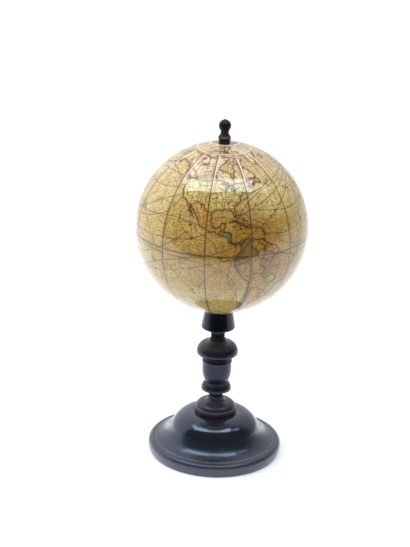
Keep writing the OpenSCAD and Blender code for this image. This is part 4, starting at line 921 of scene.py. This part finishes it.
def stem_outline(d, ball_r, ball_z):
    """Section of the stem in millimetres: tenon, foot disc, necks, knobs, vase and dished seat."""
    # Tenon, and the foot disc with its band, its bead and the arc and cove over it
    foot_r, foot_top, foot_mid_h = d.foot_d / 2, d.base_h + d.foot_band_h, 1.7
    foot_from = degrees(asin((d.foot_band_h - foot_mid_h) / d.foot_arc))
    foot_c = (foot_r - 0.15 - d.foot_arc * cos(radians(foot_from)), d.base_h + foot_mid_h)
    neck_r, cove = d.low_neck_d / 2, foot_c[0] - 5.5
    neck_z = foot_c[1] + d.foot_arc + cove
    tenon_r, tenon_z = d.tenon_d / 2, d.recess_h + 0.5
    foot = ([(0, tenon_z), (tenon_r, tenon_z), (tenon_r, d.base_h), (foot_r, d.base_h), (foot_r, foot_top - 1.3)]
            + arc((foot_r, foot_top - 0.8), 0.3, -90, 90, 10)
            + [(foot_r - 0.1, foot_top - 0.3), (foot_r - 0.1, foot_top)]
            + arc(foot_c, d.foot_arc, foot_from, 90)
            + arc((foot_c[0], neck_z), cove, -90, -180, 20)[1:])

    # Lower neck with its bead, collar and ring knob
    bead_r, bead_z = 0.35, neck_z + 3.6
    collar_w, ring_z, ring_h = 0.5, neck_z + 6.2, 5.8
    ring_c = (d.ring_d / 2 - d.ring_arc, ring_z + 0.6)
    ring = ([(neck_r, neck_z + 0.3), (neck_r, bead_z - bead_r)]
            + arc((neck_r + 0.1, bead_z), bead_r, -90, 90, 10)
            + [(neck_r, bead_z + bead_r), (neck_r, ring_z - 0.8), (neck_r + collar_w, ring_z - 0.4),
               (neck_r + collar_w, ring_z)]
            + arc(ring_c, d.ring_arc, -degrees(asin((ring_c[1] - ring_z) / d.ring_arc)),
                  degrees(asin((ring_z + ring_h - ring_c[1]) / d.ring_arc))))

    # Vase with its lip
    vase_foot_r, vase_r, vase_z = 7.6, d.vase_d / 2, ring_z + ring_h + 0.3
    vase_top, vase_arc, lip = vase_z + d.vase_h, 19.2, 0.15
    vase_c = (vase_r - 0.13 - vase_arc, vase_z + 9.1)
    vase = ([(vase_foot_r, ring_z + ring_h), (vase_foot_r, vase_z)]
            + arc(vase_c, vase_arc, -degrees(asin((vase_c[1] - vase_z) / vase_arc)), 0)
            + [(vase_r, vase_top - 0.7), (vase_r + lip, vase_top - 0.5), (vase_r + lip, vase_top - 0.2),
               (vase_r - lip, vase_top)])

    # Mushroom knob between the cove on the vase and the bell of the upper neck
    cove_x, cove_arc, knob_r, knob_edge = 8.4, 2.3, d.knob_d / 2, 1.85
    knob_z = vase_top + 2 * cove_arc
    knob_c = (knob_r - d.knob_arc, knob_z + knob_edge + 0.1)
    high_r, bell_arc = d.high_neck_d / 2, 4.0
    bell_x = high_r + bell_arc
    bell = (bell_x, knob_c[1] + sqrt((d.knob_arc + bell_arc) ** 2 - (bell_x - knob_c[0]) ** 2))
    lean = degrees(atan2(bell[1] - knob_c[1], bell_x - knob_c[0]))
    knob = (arc((cove_x, vase_top + cove_arc), cove_arc, -90, -270, 20)
            + arc((knob_r - knob_edge, knob_z + knob_edge), knob_edge, -90, 0, 16)
            + arc(knob_c, d.knob_arc, 0, lean)
            + arc(bell, bell_arc, lean - 180, -180, 16)[1:])

    # Globe seat with its dish, the washer's flat and the axle's hole
    seat_low, seat_cove, low_edge, rim_edge, collar_r = 94.5, 1.8, 1.2, 0.6, high_r + 0.4
    rim_r, dish = d.seat_high_d / 2 - rim_edge, ball_r + d.seat_gap
    rim_z = ball_z - sqrt(dish ** 2 - rim_r ** 2)
    washer_r, axle_r, hole_z = d.washer_d / 2 + 0.5, d.axle_d / 2, d.seat_z - d.axle_in_stem
    seat = ([(high_r, seat_low - 3.2), (collar_r, seat_low - 2.9)]
            + arc((collar_r + seat_cove, seat_low - 2.2), seat_cove, 180, 90, 12)
            + arc((d.seat_low_d / 2 - low_edge, seat_low + low_edge), low_edge, -90, -10, 12)
            + arc((rim_r, rim_z - rim_edge), rim_edge, 10, 90, 8)
            + arc((0, ball_z), dish, degrees(asin(rim_r / dish)) - 90, degrees(asin(washer_r / dish)) - 90, 8)[1:]
            + [(washer_r, d.seat_z), (axle_r, d.seat_z), (axle_r, hole_z), (0, hole_z)])
    return foot + ring + vase + knob + seat


def finial_outline(d, foot_z):
    """Section of the finial in millimetres: grooved foot, hollow neck, ball and nib."""
    foot_r, neck_r, ball_r = d.finial_foot_d / 2, d.finial_neck_d / 2, d.finial_ball_d / 2
    top, nib_h, nib_r = foot_z + d.finial_h, 0.3, 0.8
    ball_z, neck_z = top - nib_h - ball_r, foot_z + 4.9
    drop = ball_z - neck_z
    neck_arc = (neck_r ** 2 + drop ** 2 - ball_r ** 2) / (2 * (ball_r - neck_r))
    meet = degrees(atan2(drop, neck_r + neck_arc))
    axle_r, axle_z = d.axle_d / 2, foot_z + d.axle_in_finial
    bevel, groove, neck_below = 0.3, 0.35, 2.6
    return ([(0, axle_z), (axle_r, axle_z), (axle_r, foot_z), (foot_r - bevel, foot_z), (foot_r, foot_z + bevel),
             (foot_r, foot_z + 1.4), (foot_r - groove, foot_z + 1.6), (foot_r - groove, foot_z + 1.8),
             (foot_r - 0.2, foot_z + 2)]
            + arc((neck_r + neck_arc, neck_z), neck_arc, 180 + degrees(asin(neck_below / neck_arc)), 180 - meet, 24)
            + arc((0, ball_z), ball_r, -meet, degrees(acos(nib_r / ball_r)))[1:]
            + [(nib_r - 0.1, top - 0.1), (nib_r - 0.3, top), (0, top)])


def eased(outline, reach=0.16, blunt=0.93):
    """The outline with its corners rounded a little, but for those whose turn has a cosine above blunt."""
    points = [np.array(p, float) for p in outline]
    out = [points[0]]
    for a, b, c in zip(points[:-2], points[1:-1], points[2:]):
        before, after = np.linalg.norm(b - a), np.linalg.norm(c - b)
        if min(before, after) < SAME_PLACE:
            continue
        if (b - a) @ (c - b) / (before * after) > blunt:
            out.append(b)
            continue
        cut = min(reach, 0.45 * min(before, after))
        p, q = b - (b - a) / before * cut, b + (c - b) / after * cut
        out += [p * (1 - t) ** 2 + 2 * b * t * (1 - t) + q * t ** 2 for t in (0, 0.25, 0.5, 0.75, 1)]
    return np.array(out + [points[-1]])


def filled(outline, longest=0.7):
    """The outline with long straight runs divided, so that wear can follow it."""
    out = [outline[0]]
    for a, b in zip(outline[:-1], outline[1:]):
        parts = max(1, int(np.ceil(np.linalg.norm(b - a) / longest)))
        out += [a + (b - a) * i / parts for i in range(1, parts + 1)]
    return np.array(out)


def corner_marks(outline, spread=0.45):
    """How near each point is to a ridge and to a hollow of the outline, from 0 to 1."""
    step = np.diff(outline, axis=0)
    turn = np.zeros(len(outline))
    cross = step[:-1, 0] * step[1:, 1] - step[:-1, 1] * step[1:, 0]
    turn[1:-1] = np.arctan2(cross, (step[:-1] * step[1:]).sum(1))
    along = np.concatenate([[0], np.cumsum(np.linalg.norm(step, axis=1))])
    near = np.exp(-((along[:, None] - along[None]) / spread) ** 2)
    return (near @ turn.clip(0)).clip(0, 1), (near @ -turn.clip(None, 0)).clip(0, 1)


def link(piece):
    """Put the object into the scene."""
    bpy.context.scene.collection.objects.link(piece)
    return piece


def soften(mesh, corner=38):
    """Shade the mesh smooth, but for edges with more than this angle in degrees."""
    mesh.shade_smooth()
    mesh.set_sharp_from_angle(angle=radians(corner))


def new_piece(name, verts, faces, material):
    """An object with this mesh and material."""
    mesh = bpy.data.meshes.new(name)
    mesh.from_pydata(verts, [], faces)
    soften(mesh)
    mesh.materials.append(material)
    return link(bpy.data.objects.new(name, mesh))


def turned(name, outline, material, steps):
    """A piece turned on the lathe from its section in millimetres, with marks for wear and dust."""
    outline = filled(eased(outline))
    around = np.arange(steps) * 2 * pi / steps
    rings = [[(0, 0, z)] if r < SAME_PLACE else [(r * cos(a), r * sin(a), z) for a in around] for r, z in outline]
    counts = [len(ring) for ring in rings]
    first = [0, *accumulate(counts)]
    faces = []
    for low in range(len(rings)):
        high = (low + 1) % len(rings)
        for k in range(steps):
            corners = ((low, k), (low, k + 1), (high, k + 1), (high, k))
            # A ring on the axis is a single point, so its two corners are one
            face = tuple(dict.fromkeys(first[ring] + turn % counts[ring] for ring, turn in corners))
            if len(face) > 2:
                faces.append(face)
    piece = new_piece(name, [(x / 1000, y / 1000, z / 1000) for ring in rings for x, y, z in ring], faces, material)
    for mark_name, values in zip(("wear", "pocket"), corner_marks(outline)):
        mark(piece.data, mark_name, np.repeat(values, counts))
    return piece


def gore_tree():
    """Geometry nodes that lay one printed gore on the ball: a grid bent to the sphere, with the paper's thickness."""
    tree = bpy.data.node_groups.new("printed_gore", "GeometryNodeTree")
    sockets = (("West Edge", "Float", 0.0), ("Width", "Float", 0.5), ("South End", "Float", -1.2),
               ("North End", "Float", 1.2), ("Ball Radius", "Float", 0.06), ("Ball Height", "Float", 0.169),
               ("Paper", "Float", 0.0002), ("Columns", "Int", 60), ("Rows", "Int", 286), ("Material", "Material", None))
    for name, kind, default in sockets:
        socket = tree.interface.new_socket(name, in_out="INPUT", socket_type="NodeSocket" + kind)
        if default is not None:
            socket.default_value = default
    tree.interface.new_socket("Geometry", in_out="OUTPUT", socket_type="NodeSocketGeometry")
    n = Nodes(tree)
    given = n.add("NodeGroupInput").outputs
    grid = n.add("GeometryNodeMeshGrid", {"Size X": 1.0, "Size Y": 1.0, "Vertices X": given["Columns"],
                                          "Vertices Y": given["Rows"]}).outputs["Mesh"]
    x, y, _ = n.split(n.add("GeometryNodeInputPosition").outputs[0])
    lon = n.math("MULTIPLY_ADD", n.plus(x, 0.5), given["Width"], given["West Edge"])
    tall = n.minus(given["North End"], given["South End"])
    lat = n.math("MULTIPLY_ADD", n.plus(y, 0.5), tall, given["South End"])
    narrow = n.math("COSINE", lat)
    ray = n.join(n.times(narrow, n.math("COSINE", lon)), n.times(narrow, n.math("SINE", lon)), n.math("SINE", lat))
    under = n.add("ShaderNodeVectorMath", {0: ray, "Scale": n.minus(given["Ball Radius"], given["Paper"])},
                  operation="SCALE").outputs[0]
    sheet = n.add("GeometryNodeSetPosition", {"Geometry": grid, "Position": under}).outputs[0]
    outward = n.vector("NORMALIZE", n.add("GeometryNodeInputPosition").outputs[0])
    skin = n.add("GeometryNodeExtrudeMesh", {"Mesh": sheet, "Offset": outward, "Offset Scale": given["Paper"],
                                             "Individual": False}, mode="FACES").outputs["Mesh"]
    both_sides = n.add("GeometryNodeJoinGeometry")
    for side in (n.add("GeometryNodeFlipFaces", {"Mesh": sheet}).outputs[0], skin):
        tree.links.new(side, both_sides.inputs[0])
    closed = n.add("GeometryNodeMergeByDistance", {"Geometry": both_sides.outputs[0], "Distance": 0.000002}).outputs[0]
    lift = n.join(0, 0, given["Ball Height"])
    placed = n.add("GeometryNodeSetPosition", {"Geometry": closed, "Offset": lift}).outputs[0]
    real = n.add("GeometryNodeRealizeInstances", {"Geometry": placed}).outputs[0]
    done = n.add("GeometryNodeSetMaterial", {"Geometry": real, "Material": given["Material"]}).outputs[0]
    n.add("NodeGroupOutput", {"Geometry": done})
    return tree


def grown(name, tree, values):
    """A plain mesh object made by a geometry-nodes tree with these named inputs."""
    seed = link(bpy.data.objects.new(name + "_grid", bpy.data.meshes.new(name + "_grid")))
    modifier = seed.modifiers.new("grow", "NODES")
    modifier.node_group = tree
    ids = {item.name: item.identifier for item in tree.interface.items_tree if item.in_out == "INPUT"}
    for key, value in values.items():
        modifier[ids[key]] = value
    bpy.context.view_layer.update()
    mesh = bpy.data.meshes.new_from_object(seed.evaluated_get(bpy.context.evaluated_depsgraph_get()))
    bpy.data.objects.remove(seed)
    mesh.name = name
    return link(bpy.data.objects.new(name, mesh))


def dress(node, material):
    """The CAD node's own mesh, in this material."""
    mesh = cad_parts[node].data
    mesh.materials.clear()
    mesh.materials.append(material)


def polar_sheet(name, ball, side, inner, material, columns=360, rings=26):
    """A round paper over a pole, from an inner edge given for each azimuth out to the gores, as a closed sheet."""
    outer = pi / 2 - ball.cap_edge - ball.paper_joint
    verts = []
    for radius in (ball.radius, ball.radius - ball.paper):
        for i in range(rings + 1):
            for k in range(columns):
                az = 2 * pi * k / columns
                polar = inner(az) + (outer - inner(az)) * i / rings
                verts.append((radius * sin(polar) * cos(az), radius * sin(polar) * sin(az),
                              ball.height + side * radius * cos(polar)))
    faces = []
    below = (rings + 1) * columns
    for i in range(rings):
        for k in range(columns):
            a, b = i * columns + k, i * columns + (k + 1) % columns
            top = (a, a + columns, b + columns, b)
            faces += [top, tuple(corner + below for corner in (b, b + columns, a + columns, a))]
    for k in range(columns):
        a, b = k, (k + 1) % columns
        c, d = rings * columns + a, rings * columns + b
        faces += [(b, b + below, a + below, a), (c, c + below, d + below, d)]
    return new_piece(name, verts, faces if side > 0 else [face[::-1] for face in faces], material)


# Torn patch round the north pole, as circles in millimetres: x, y and radius
TORN = ((0, 2.4, 7.0), (-5.2, 2.9, 4.3), (5.0, 3.0, 4.6), (2.6, -0.6, 4.6), (-1.8, -0.3, 4.4), (-2.5, 6.6, 4.0),
        (3.2, 7.2, 3.6))


def torn_edge(az):
    """Distance in metres from the axis to the torn edge of the north cap, in the direction az."""
    reach = 0
    for x, y, r in TORN:
        along = x * cos(az) + y * sin(az)
        half_chord2 = r * r - (x * x + y * y - along * along)
        if half_chord2 > 0:
            reach = max(reach, along + sqrt(half_chord2))
    ragged = 0.09 * sin(31 * az) + 0.06 * sin(53 * az + 1)
    return (reach + ragged) / 1000


def finish_piece(piece, body, slot, *nodes):
    """Hide the nodes that the piece replaces and put it on the body it rides on; slot, what it is made of, is not used.
    """
    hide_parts(*nodes)
    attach(piece, body)


# Stage

# Softboxes in a bent row overhead: name, place, width, depth, turn, brightness
SOFTBOXES = (("softbox_left", (-0.53, -0.17), 0.62, 0.33, -24.4, 5.7),
             ("softbox_middle", (-0.02, -0.28), 0.50, 0.34, 0, 4.9),
             ("softbox_right", (0.40, -0.20), 0.40, 0.33, 21, 6.5),
             ("softbox_end", (-0.70, 0.16), 0.20, 0.30, -45, 2.8),
             ("softbox_far", (0.86, -0.02), 0.42, 0.22, 32, 2.4))


def studio_floor(stage, far=6):
    """A white floor from just in front of the globe. What mirrors it sees it darker to the right and at its edges."""
    near = -stage.floor_front
    mesh = bpy.data.meshes.new("studio_floor")
    mesh.from_pydata([(-far, near, 0), (far, near, 0), (far, far, 0), (-far, far, 0)], [], [(0, 1, 2, 3)])
    floor = link(bpy.data.objects.new("studio_floor", mesh))
    # Just under the base
    floor.location.z = -0.0002
    material, n = new_material("studio_floor")
    rays = n.add("ShaderNodeLightPath").outputs
    across, along, _ = n.split(n.place())
    mirrored = n.times(n.most(rays["Is Glossy Ray"], rays["Is Transmission Ray"]),
                       n.between(across, -0.1, 0.5, 0.80, 0.30), n.between(along, -0.38, -0.24, 0.3, 1),
                       n.between(across, -0.60, -0.35, 0.4, 1))
    seen = n.plus(mirrored, n.times(rays["Is Camera Ray"], 0.32))
    diffuse = n.add("ShaderNodeBsdfDiffuse", {"Color": rgba(stage.floor)}).outputs[0]
    glow = n.add("ShaderNodeEmission", {"Color": rgba(stage.glow), "Strength": seen}).outputs[0]
    n.add("ShaderNodeOutputMaterial", {"Surface": n.add("ShaderNodeAddShader", {0: diffuse, 1: glow}).outputs[0]})
    mesh.materials.append(material)


def studio_room(stage):
    """The world as a white room, dark behind the camera and brighter on the left."""
    world = bpy.data.worlds.new("studio_world")
    world.use_nodes = True
    world.node_tree.nodes.clear()
    n = Nodes(world.node_tree)
    x, y, _ = n.split(n.add("ShaderNodeTexCoord").outputs["Generated"])
    rays = n.add("ShaderNodeLightPath").outputs
    # How far a direction points to the camera's side, with a softer change on the right
    to_camera = n.math("DIVIDE", n.minus(n.plus(n.times(x, 0.19), 0.14), y), n.between(x, 0, 1, 1, 3))
    walls = n.between(x, -1, 0.1, 1.2, n.between(x, 0, 1, 1.0, 0.5))
    room = n.plus(n.between(to_camera, 0.10, -0.06, 0.03, walls),
                  n.times(rays["Is Diffuse Ray"], n.between(x, -1, 0.5, 0.90, 0.40)))
    sky = n.add("ShaderNodeBackground", {"Color": rgba(stage.room), "Strength": n.most(rays["Is Camera Ray"], room)})
    n.add("ShaderNodeOutputWorld", {"Surface": sky.outputs[0]})
    return world


def hang_softbox(stage, name, at, wide, deep, turn, bright):
    """A softbox over the table, turned about the upright by an angle in degrees."""
    lamp = bpy.data.lights.new(name, "AREA")
    lamp.shape, lamp.size, lamp.size_y, lamp.color = "RECTANGLE", wide, deep, stage.lamps
    lamp.energy = bright * pi * wide * deep
    holder = link(bpy.data.objects.new(name, lamp))
    holder.location = (*at, stage.softbox_height)
    holder.rotation_euler.z = radians(turn)


def studio_camera(stage):
    """The camera in front of the globe, looking down a little."""
    lens = bpy.data.cameras.new("camera")
    lens.lens, lens.sensor_width, lens.sensor_fit, lens.clip_start = stage.lens, 36, "AUTO", 0.05
    camera = link(bpy.data.objects.new("camera", lens))
    camera.matrix_world = (Matrix.Translation((0, -stage.distance, stage.eye)) @ Matrix.Rotation(stage.yaw, 4, "Z")
                           @ Matrix.Rotation(pi / 2 - stage.pitch, 4, "X") @ Matrix.Rotation(stage.roll, 4, "Z"))
    return camera


# Operators


class GLOBE_OT_base(bpy.types.Operator):
    """Turn the round base: rim bead, quirk, hollow flare and dome"""
    bl_idname = "globe.base"
    bl_label = "Turn Base"

    def execute(self, context):
        tones, sizes = context.scene.stand_colours, context.scene.stand_sizes
        rim_top = sizes.rim_mid_z + sizes.rim_arc
        # Painted light: blue sheen in the body, a highlight line on the flare's edge over the quirk, and sheen with the
        # dust on what looks up
        wood = polished_wood("ebonised_base", tones.base_ebony_and_sheen, tones, gloss=0.25, shine=0.76, coat=0.34,
                             tint=tones.sheen, dust_and_sheen_amount=0.04, low=rim_top - 0.0004, low_tone=tones.rim, low_rough=0.10,
                             edge=rim_top + 0.0002, high=sizes.base_h * 0.65, blend=0.004)
        base = turned("turned_base", base_outline(in_mm(sizes)), wood, steps=220)
        finish_piece(base, "stand", "ebonised_wood", "base_foot")
        return {"FINISHED"}


class GLOBE_OT_stem(bpy.types.Operator):
    """Turn the stem with its foot disc, knobs, vase and dished globe seat"""
    bl_idname = "globe.stem"
    bl_label = "Turn Stem"

    def execute(self, context):
        scene = context.scene
        tones, sizes, ball = scene.stand_colours, scene.stand_sizes, scene.ball_sizes
        band_top = sizes.base_h + sizes.foot_band_h
        # Painted highlight: the pale line at edge, along the top of the foot band; the film on what looks up is dust
        # and painted sheen
        wood = polished_wood("ebonised_stem", tones.ebony, tones, gloss=0.30, shine=0.42, coat=0.18, tint=tones.sheen,
                             dust_and_sheen_amount=0.17, low=band_top - 0.0003, low_tone=tones.foot_band, low_rough=0.1,
                             neck=sizes.high_neck_d / 2, edge=band_top - 0.0001, high=0.0935)
        dull = polished_wood("dull_neck", tones.ebony, tones, gloss=0.55, shine=0.12, coat=0.0, tint=tones.sheen)
        outline = stem_outline(in_mm(sizes), ball.radius * 1000, ball.height * 1000)
        stem = turned("turned_stem", outline, wood, steps=160)
        stem.data.materials.append(dull)
        # The necks are dull between these heights, inside this radius
        necks, reach = ((0.0415, 0.0475), (0.0850, 0.0925)), 0.0062
        for face in stem.data.polygons:
            x, y, z = face.center
            if x * x + y * y < reach ** 2 and any(low < z < high for low, high in necks):
                face.material_index = 1
        finish_piece(stem, "stand", "ebonised_wood", "stem_column")
        return {"FINISHED"}


class GLOBE_OT_finial(bpy.types.Operator):
    """Turn the finial on the top end of the axle"""
    bl_idname = "globe.finial"
    bl_label = "Turn Finial"

    def execute(self, context):
        tones, sizes = context.scene.stand_colours, in_mm(context.scene.stand_sizes)
        wood = polished_wood("finial_wood", tones.finial, tones, gloss=0.30, shine=0.14, coat=0.10,
                             tint=(1, 0.90, 0.85), dust_and_sheen_amount=0.02)
        outline = finial_outline(sizes, NORTH_BOSS_TOP * 1000 + sizes.play_above)
        finial = turned("turned_finial", outline, wood, steps=120)
        finish_piece(finial, "stand", "finial_wood", "finial")
        return {"FINISHED"}


class GLOBE_OT_fittings(bpy.types.Operator):
    """Give the axle, washer, bushes, tacks and everything inside the ball their own finishes"""
    bl_idname = "globe.fittings"
    bl_label = "Finish Fittings"

    def execute(self, context):
        tones, ball = context.scene.stand_colours, context.scene.ball_sizes
        finishes = (
            (metal("old_iron", (0.24, 0.22, 0.21), (0.09, 0.06, 0.045), 0.45),
             ("axle_rod", "south_pole_tacks", "north_pole_tacks")),
            (metal("aged_brass", (0.10, 0.07, 0.042), (0.035, 0.025, 0.020)),
             ("thrust_washer", "south_pole_bush", "north_pole_bush")),
            (raw("inner_wood", (0.62, 0.44, 0.25), (0.45, 0.29, 0.15), 500, (1, 1, 0.12)),
             ("core_post", "south_pole_block", "north_pole_block")),
            (raw("pasteboard", (0.50, 0.47, 0.40), (0.38, 0.33, 0.26), 900), ("south_half_shell", "north_half_shell")),
            (raw("linen_tape", (0.68, 0.62, 0.48), (0.50, 0.43, 0.30), 2200, (1, 1, 1), 0.85), ("seam_tape",)),
            (old_plaster("plaster", ball.height, tones), ("plaster_coat",)),
        )
        for material, nodes in finishes:
            for node in nodes:
                dress(node, material)
        return {"FINISHED"}


class GLOBE_OT_gores(bpy.types.Operator):
    """Lay the printed gores round the ball and print the map on them"""
    bl_idname = "globe.gores"
    bl_label = "Lay Gores"

    def execute(self, context):
        ball, look = context.scene.ball_sizes, context.scene.print_colours
        paper = printed_paper("gore_paper", ball, look)
        tree = gore_tree()
        width = 2 * pi / ball.gores
        columns, rows = ((61, 287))
        for i in range(ball.gores):
            gore = grown(f"paper_gore_{i + 1:02d}", tree, {
                "West Edge": ball.first_gore + i * width + ball.paper_joint / 2,
                "Width": width - ball.paper_joint,
                "South End": -ball.cap_edge,
                "North End": ball.cap_edge,
                "Ball Radius": ball.radius,
                "Ball Height": ball.height,
                "Paper": ball.paper,
                "Columns": columns,
                "Rows": rows,
                "Material": paper,
            })
            soften(gore.data)
            write_map(gore.data, ball.height)
            finish_piece(gore, "globe", "printed_paper", f"gore_{i + 1:02d}")
        return {"FINISHED"}


class GLOBE_OT_caps(bpy.types.Operator):
    """Lay the two polar papers, the northern one torn away round the pole"""
    bl_idname = "globe.caps"
    bl_label = "Lay Polar Caps"

    def execute(self, context):
        ball, look = context.scene.ball_sizes, context.scene.print_colours
        outer = ball.radius * cos(ball.cap_edge)
        north = polar_sheet("paper_cap_north", ball, 1, lambda az: asin(torn_edge(az) / ball.radius),
                            printed_paper("torn_cap_paper", ball, look, torn=True))
        at = np.array([v.co for v in north.data.vertices])
        away = np.hypot(at[:, 0], at[:, 1])
        edge = np.array([torn_edge(az) for az in np.arctan2(at[:, 1], at[:, 0])])
        mark(north.data, "rip", (away - edge).clip(0, outer) * 1000)
        south = polar_sheet("paper_cap_south", ball, -1, lambda az: asin(ball.boss / ball.radius),
                            printed_paper("cap_paper", ball, look))
        for cap, node in ((north, "north_polar_cap"), (south, "south_polar_cap")):
            write_map(cap.data, ball.height)
            finish_piece(cap, "globe", "printed_paper", node)
        return {"FINISHED"}


class GLOBE_OT_stage(bpy.types.Operator):
    """Set the white floor, the studio light and the camera"""
    bl_idname = "globe.stage"
    bl_label = "Set Stage"

    def execute(self, context):
        stage = context.scene.stage_settings
        studio_floor(stage)
        context.scene.world = studio_room(stage)
        for box in SOFTBOXES:
            hang_softbox(stage, *box)
        context.scene.camera = studio_camera(stage)
        context.scene.view_settings.view_transform = "Standard"
        return {"FINISHED"}


STEPS = (GLOBE_OT_base, GLOBE_OT_stem, GLOBE_OT_finial, GLOBE_OT_fittings, GLOBE_OT_gores, GLOBE_OT_caps,
         GLOBE_OT_stage)


class GLOBE_PT_panel(bpy.types.Panel):
    """Lists the steps that make the globe"""
    bl_idname = "GLOBE_PT_panel"
    bl_label = "Terrestrial Globe"
    bl_space_type = "VIEW_3D"
    bl_region_type = "UI"
    bl_category = "Globe"

    def draw(self, context):
        for step in STEPS:
            self.layout.operator(step.bl_idname)
        for group in GROUPS:
            box = self.layout.box()
            for name in getattr(context.scene, group).__annotations__:
                box.prop(getattr(context.scene, group), name)


GROUPS = {"ball_sizes": BallSizes, "stand_sizes": StandSizes, "print_colours": PrintColours,
          "stand_colours": StandColours, "stage_settings": StageSettings}


def register():
    for cls in (*GROUPS.values(), *STEPS, GLOBE_PT_panel):
        bpy.utils.register_class(cls)
    for name, cls in GROUPS.items():
        setattr(bpy.types.Scene, name, PointerProperty(type=cls))


def unregister():
    for name in GROUPS:
        delattr(bpy.types.Scene, name)
    for cls in reversed((*GROUPS.values(), *STEPS, GLOBE_PT_panel)):
        bpy.utils.unregister_class(cls)


def main():
    register()
    for step in STEPS:
        space, name = step.bl_idname.split(".")
        getattr(getattr(bpy.ops, space), name)()


if __name__ == "__main__":
    main()
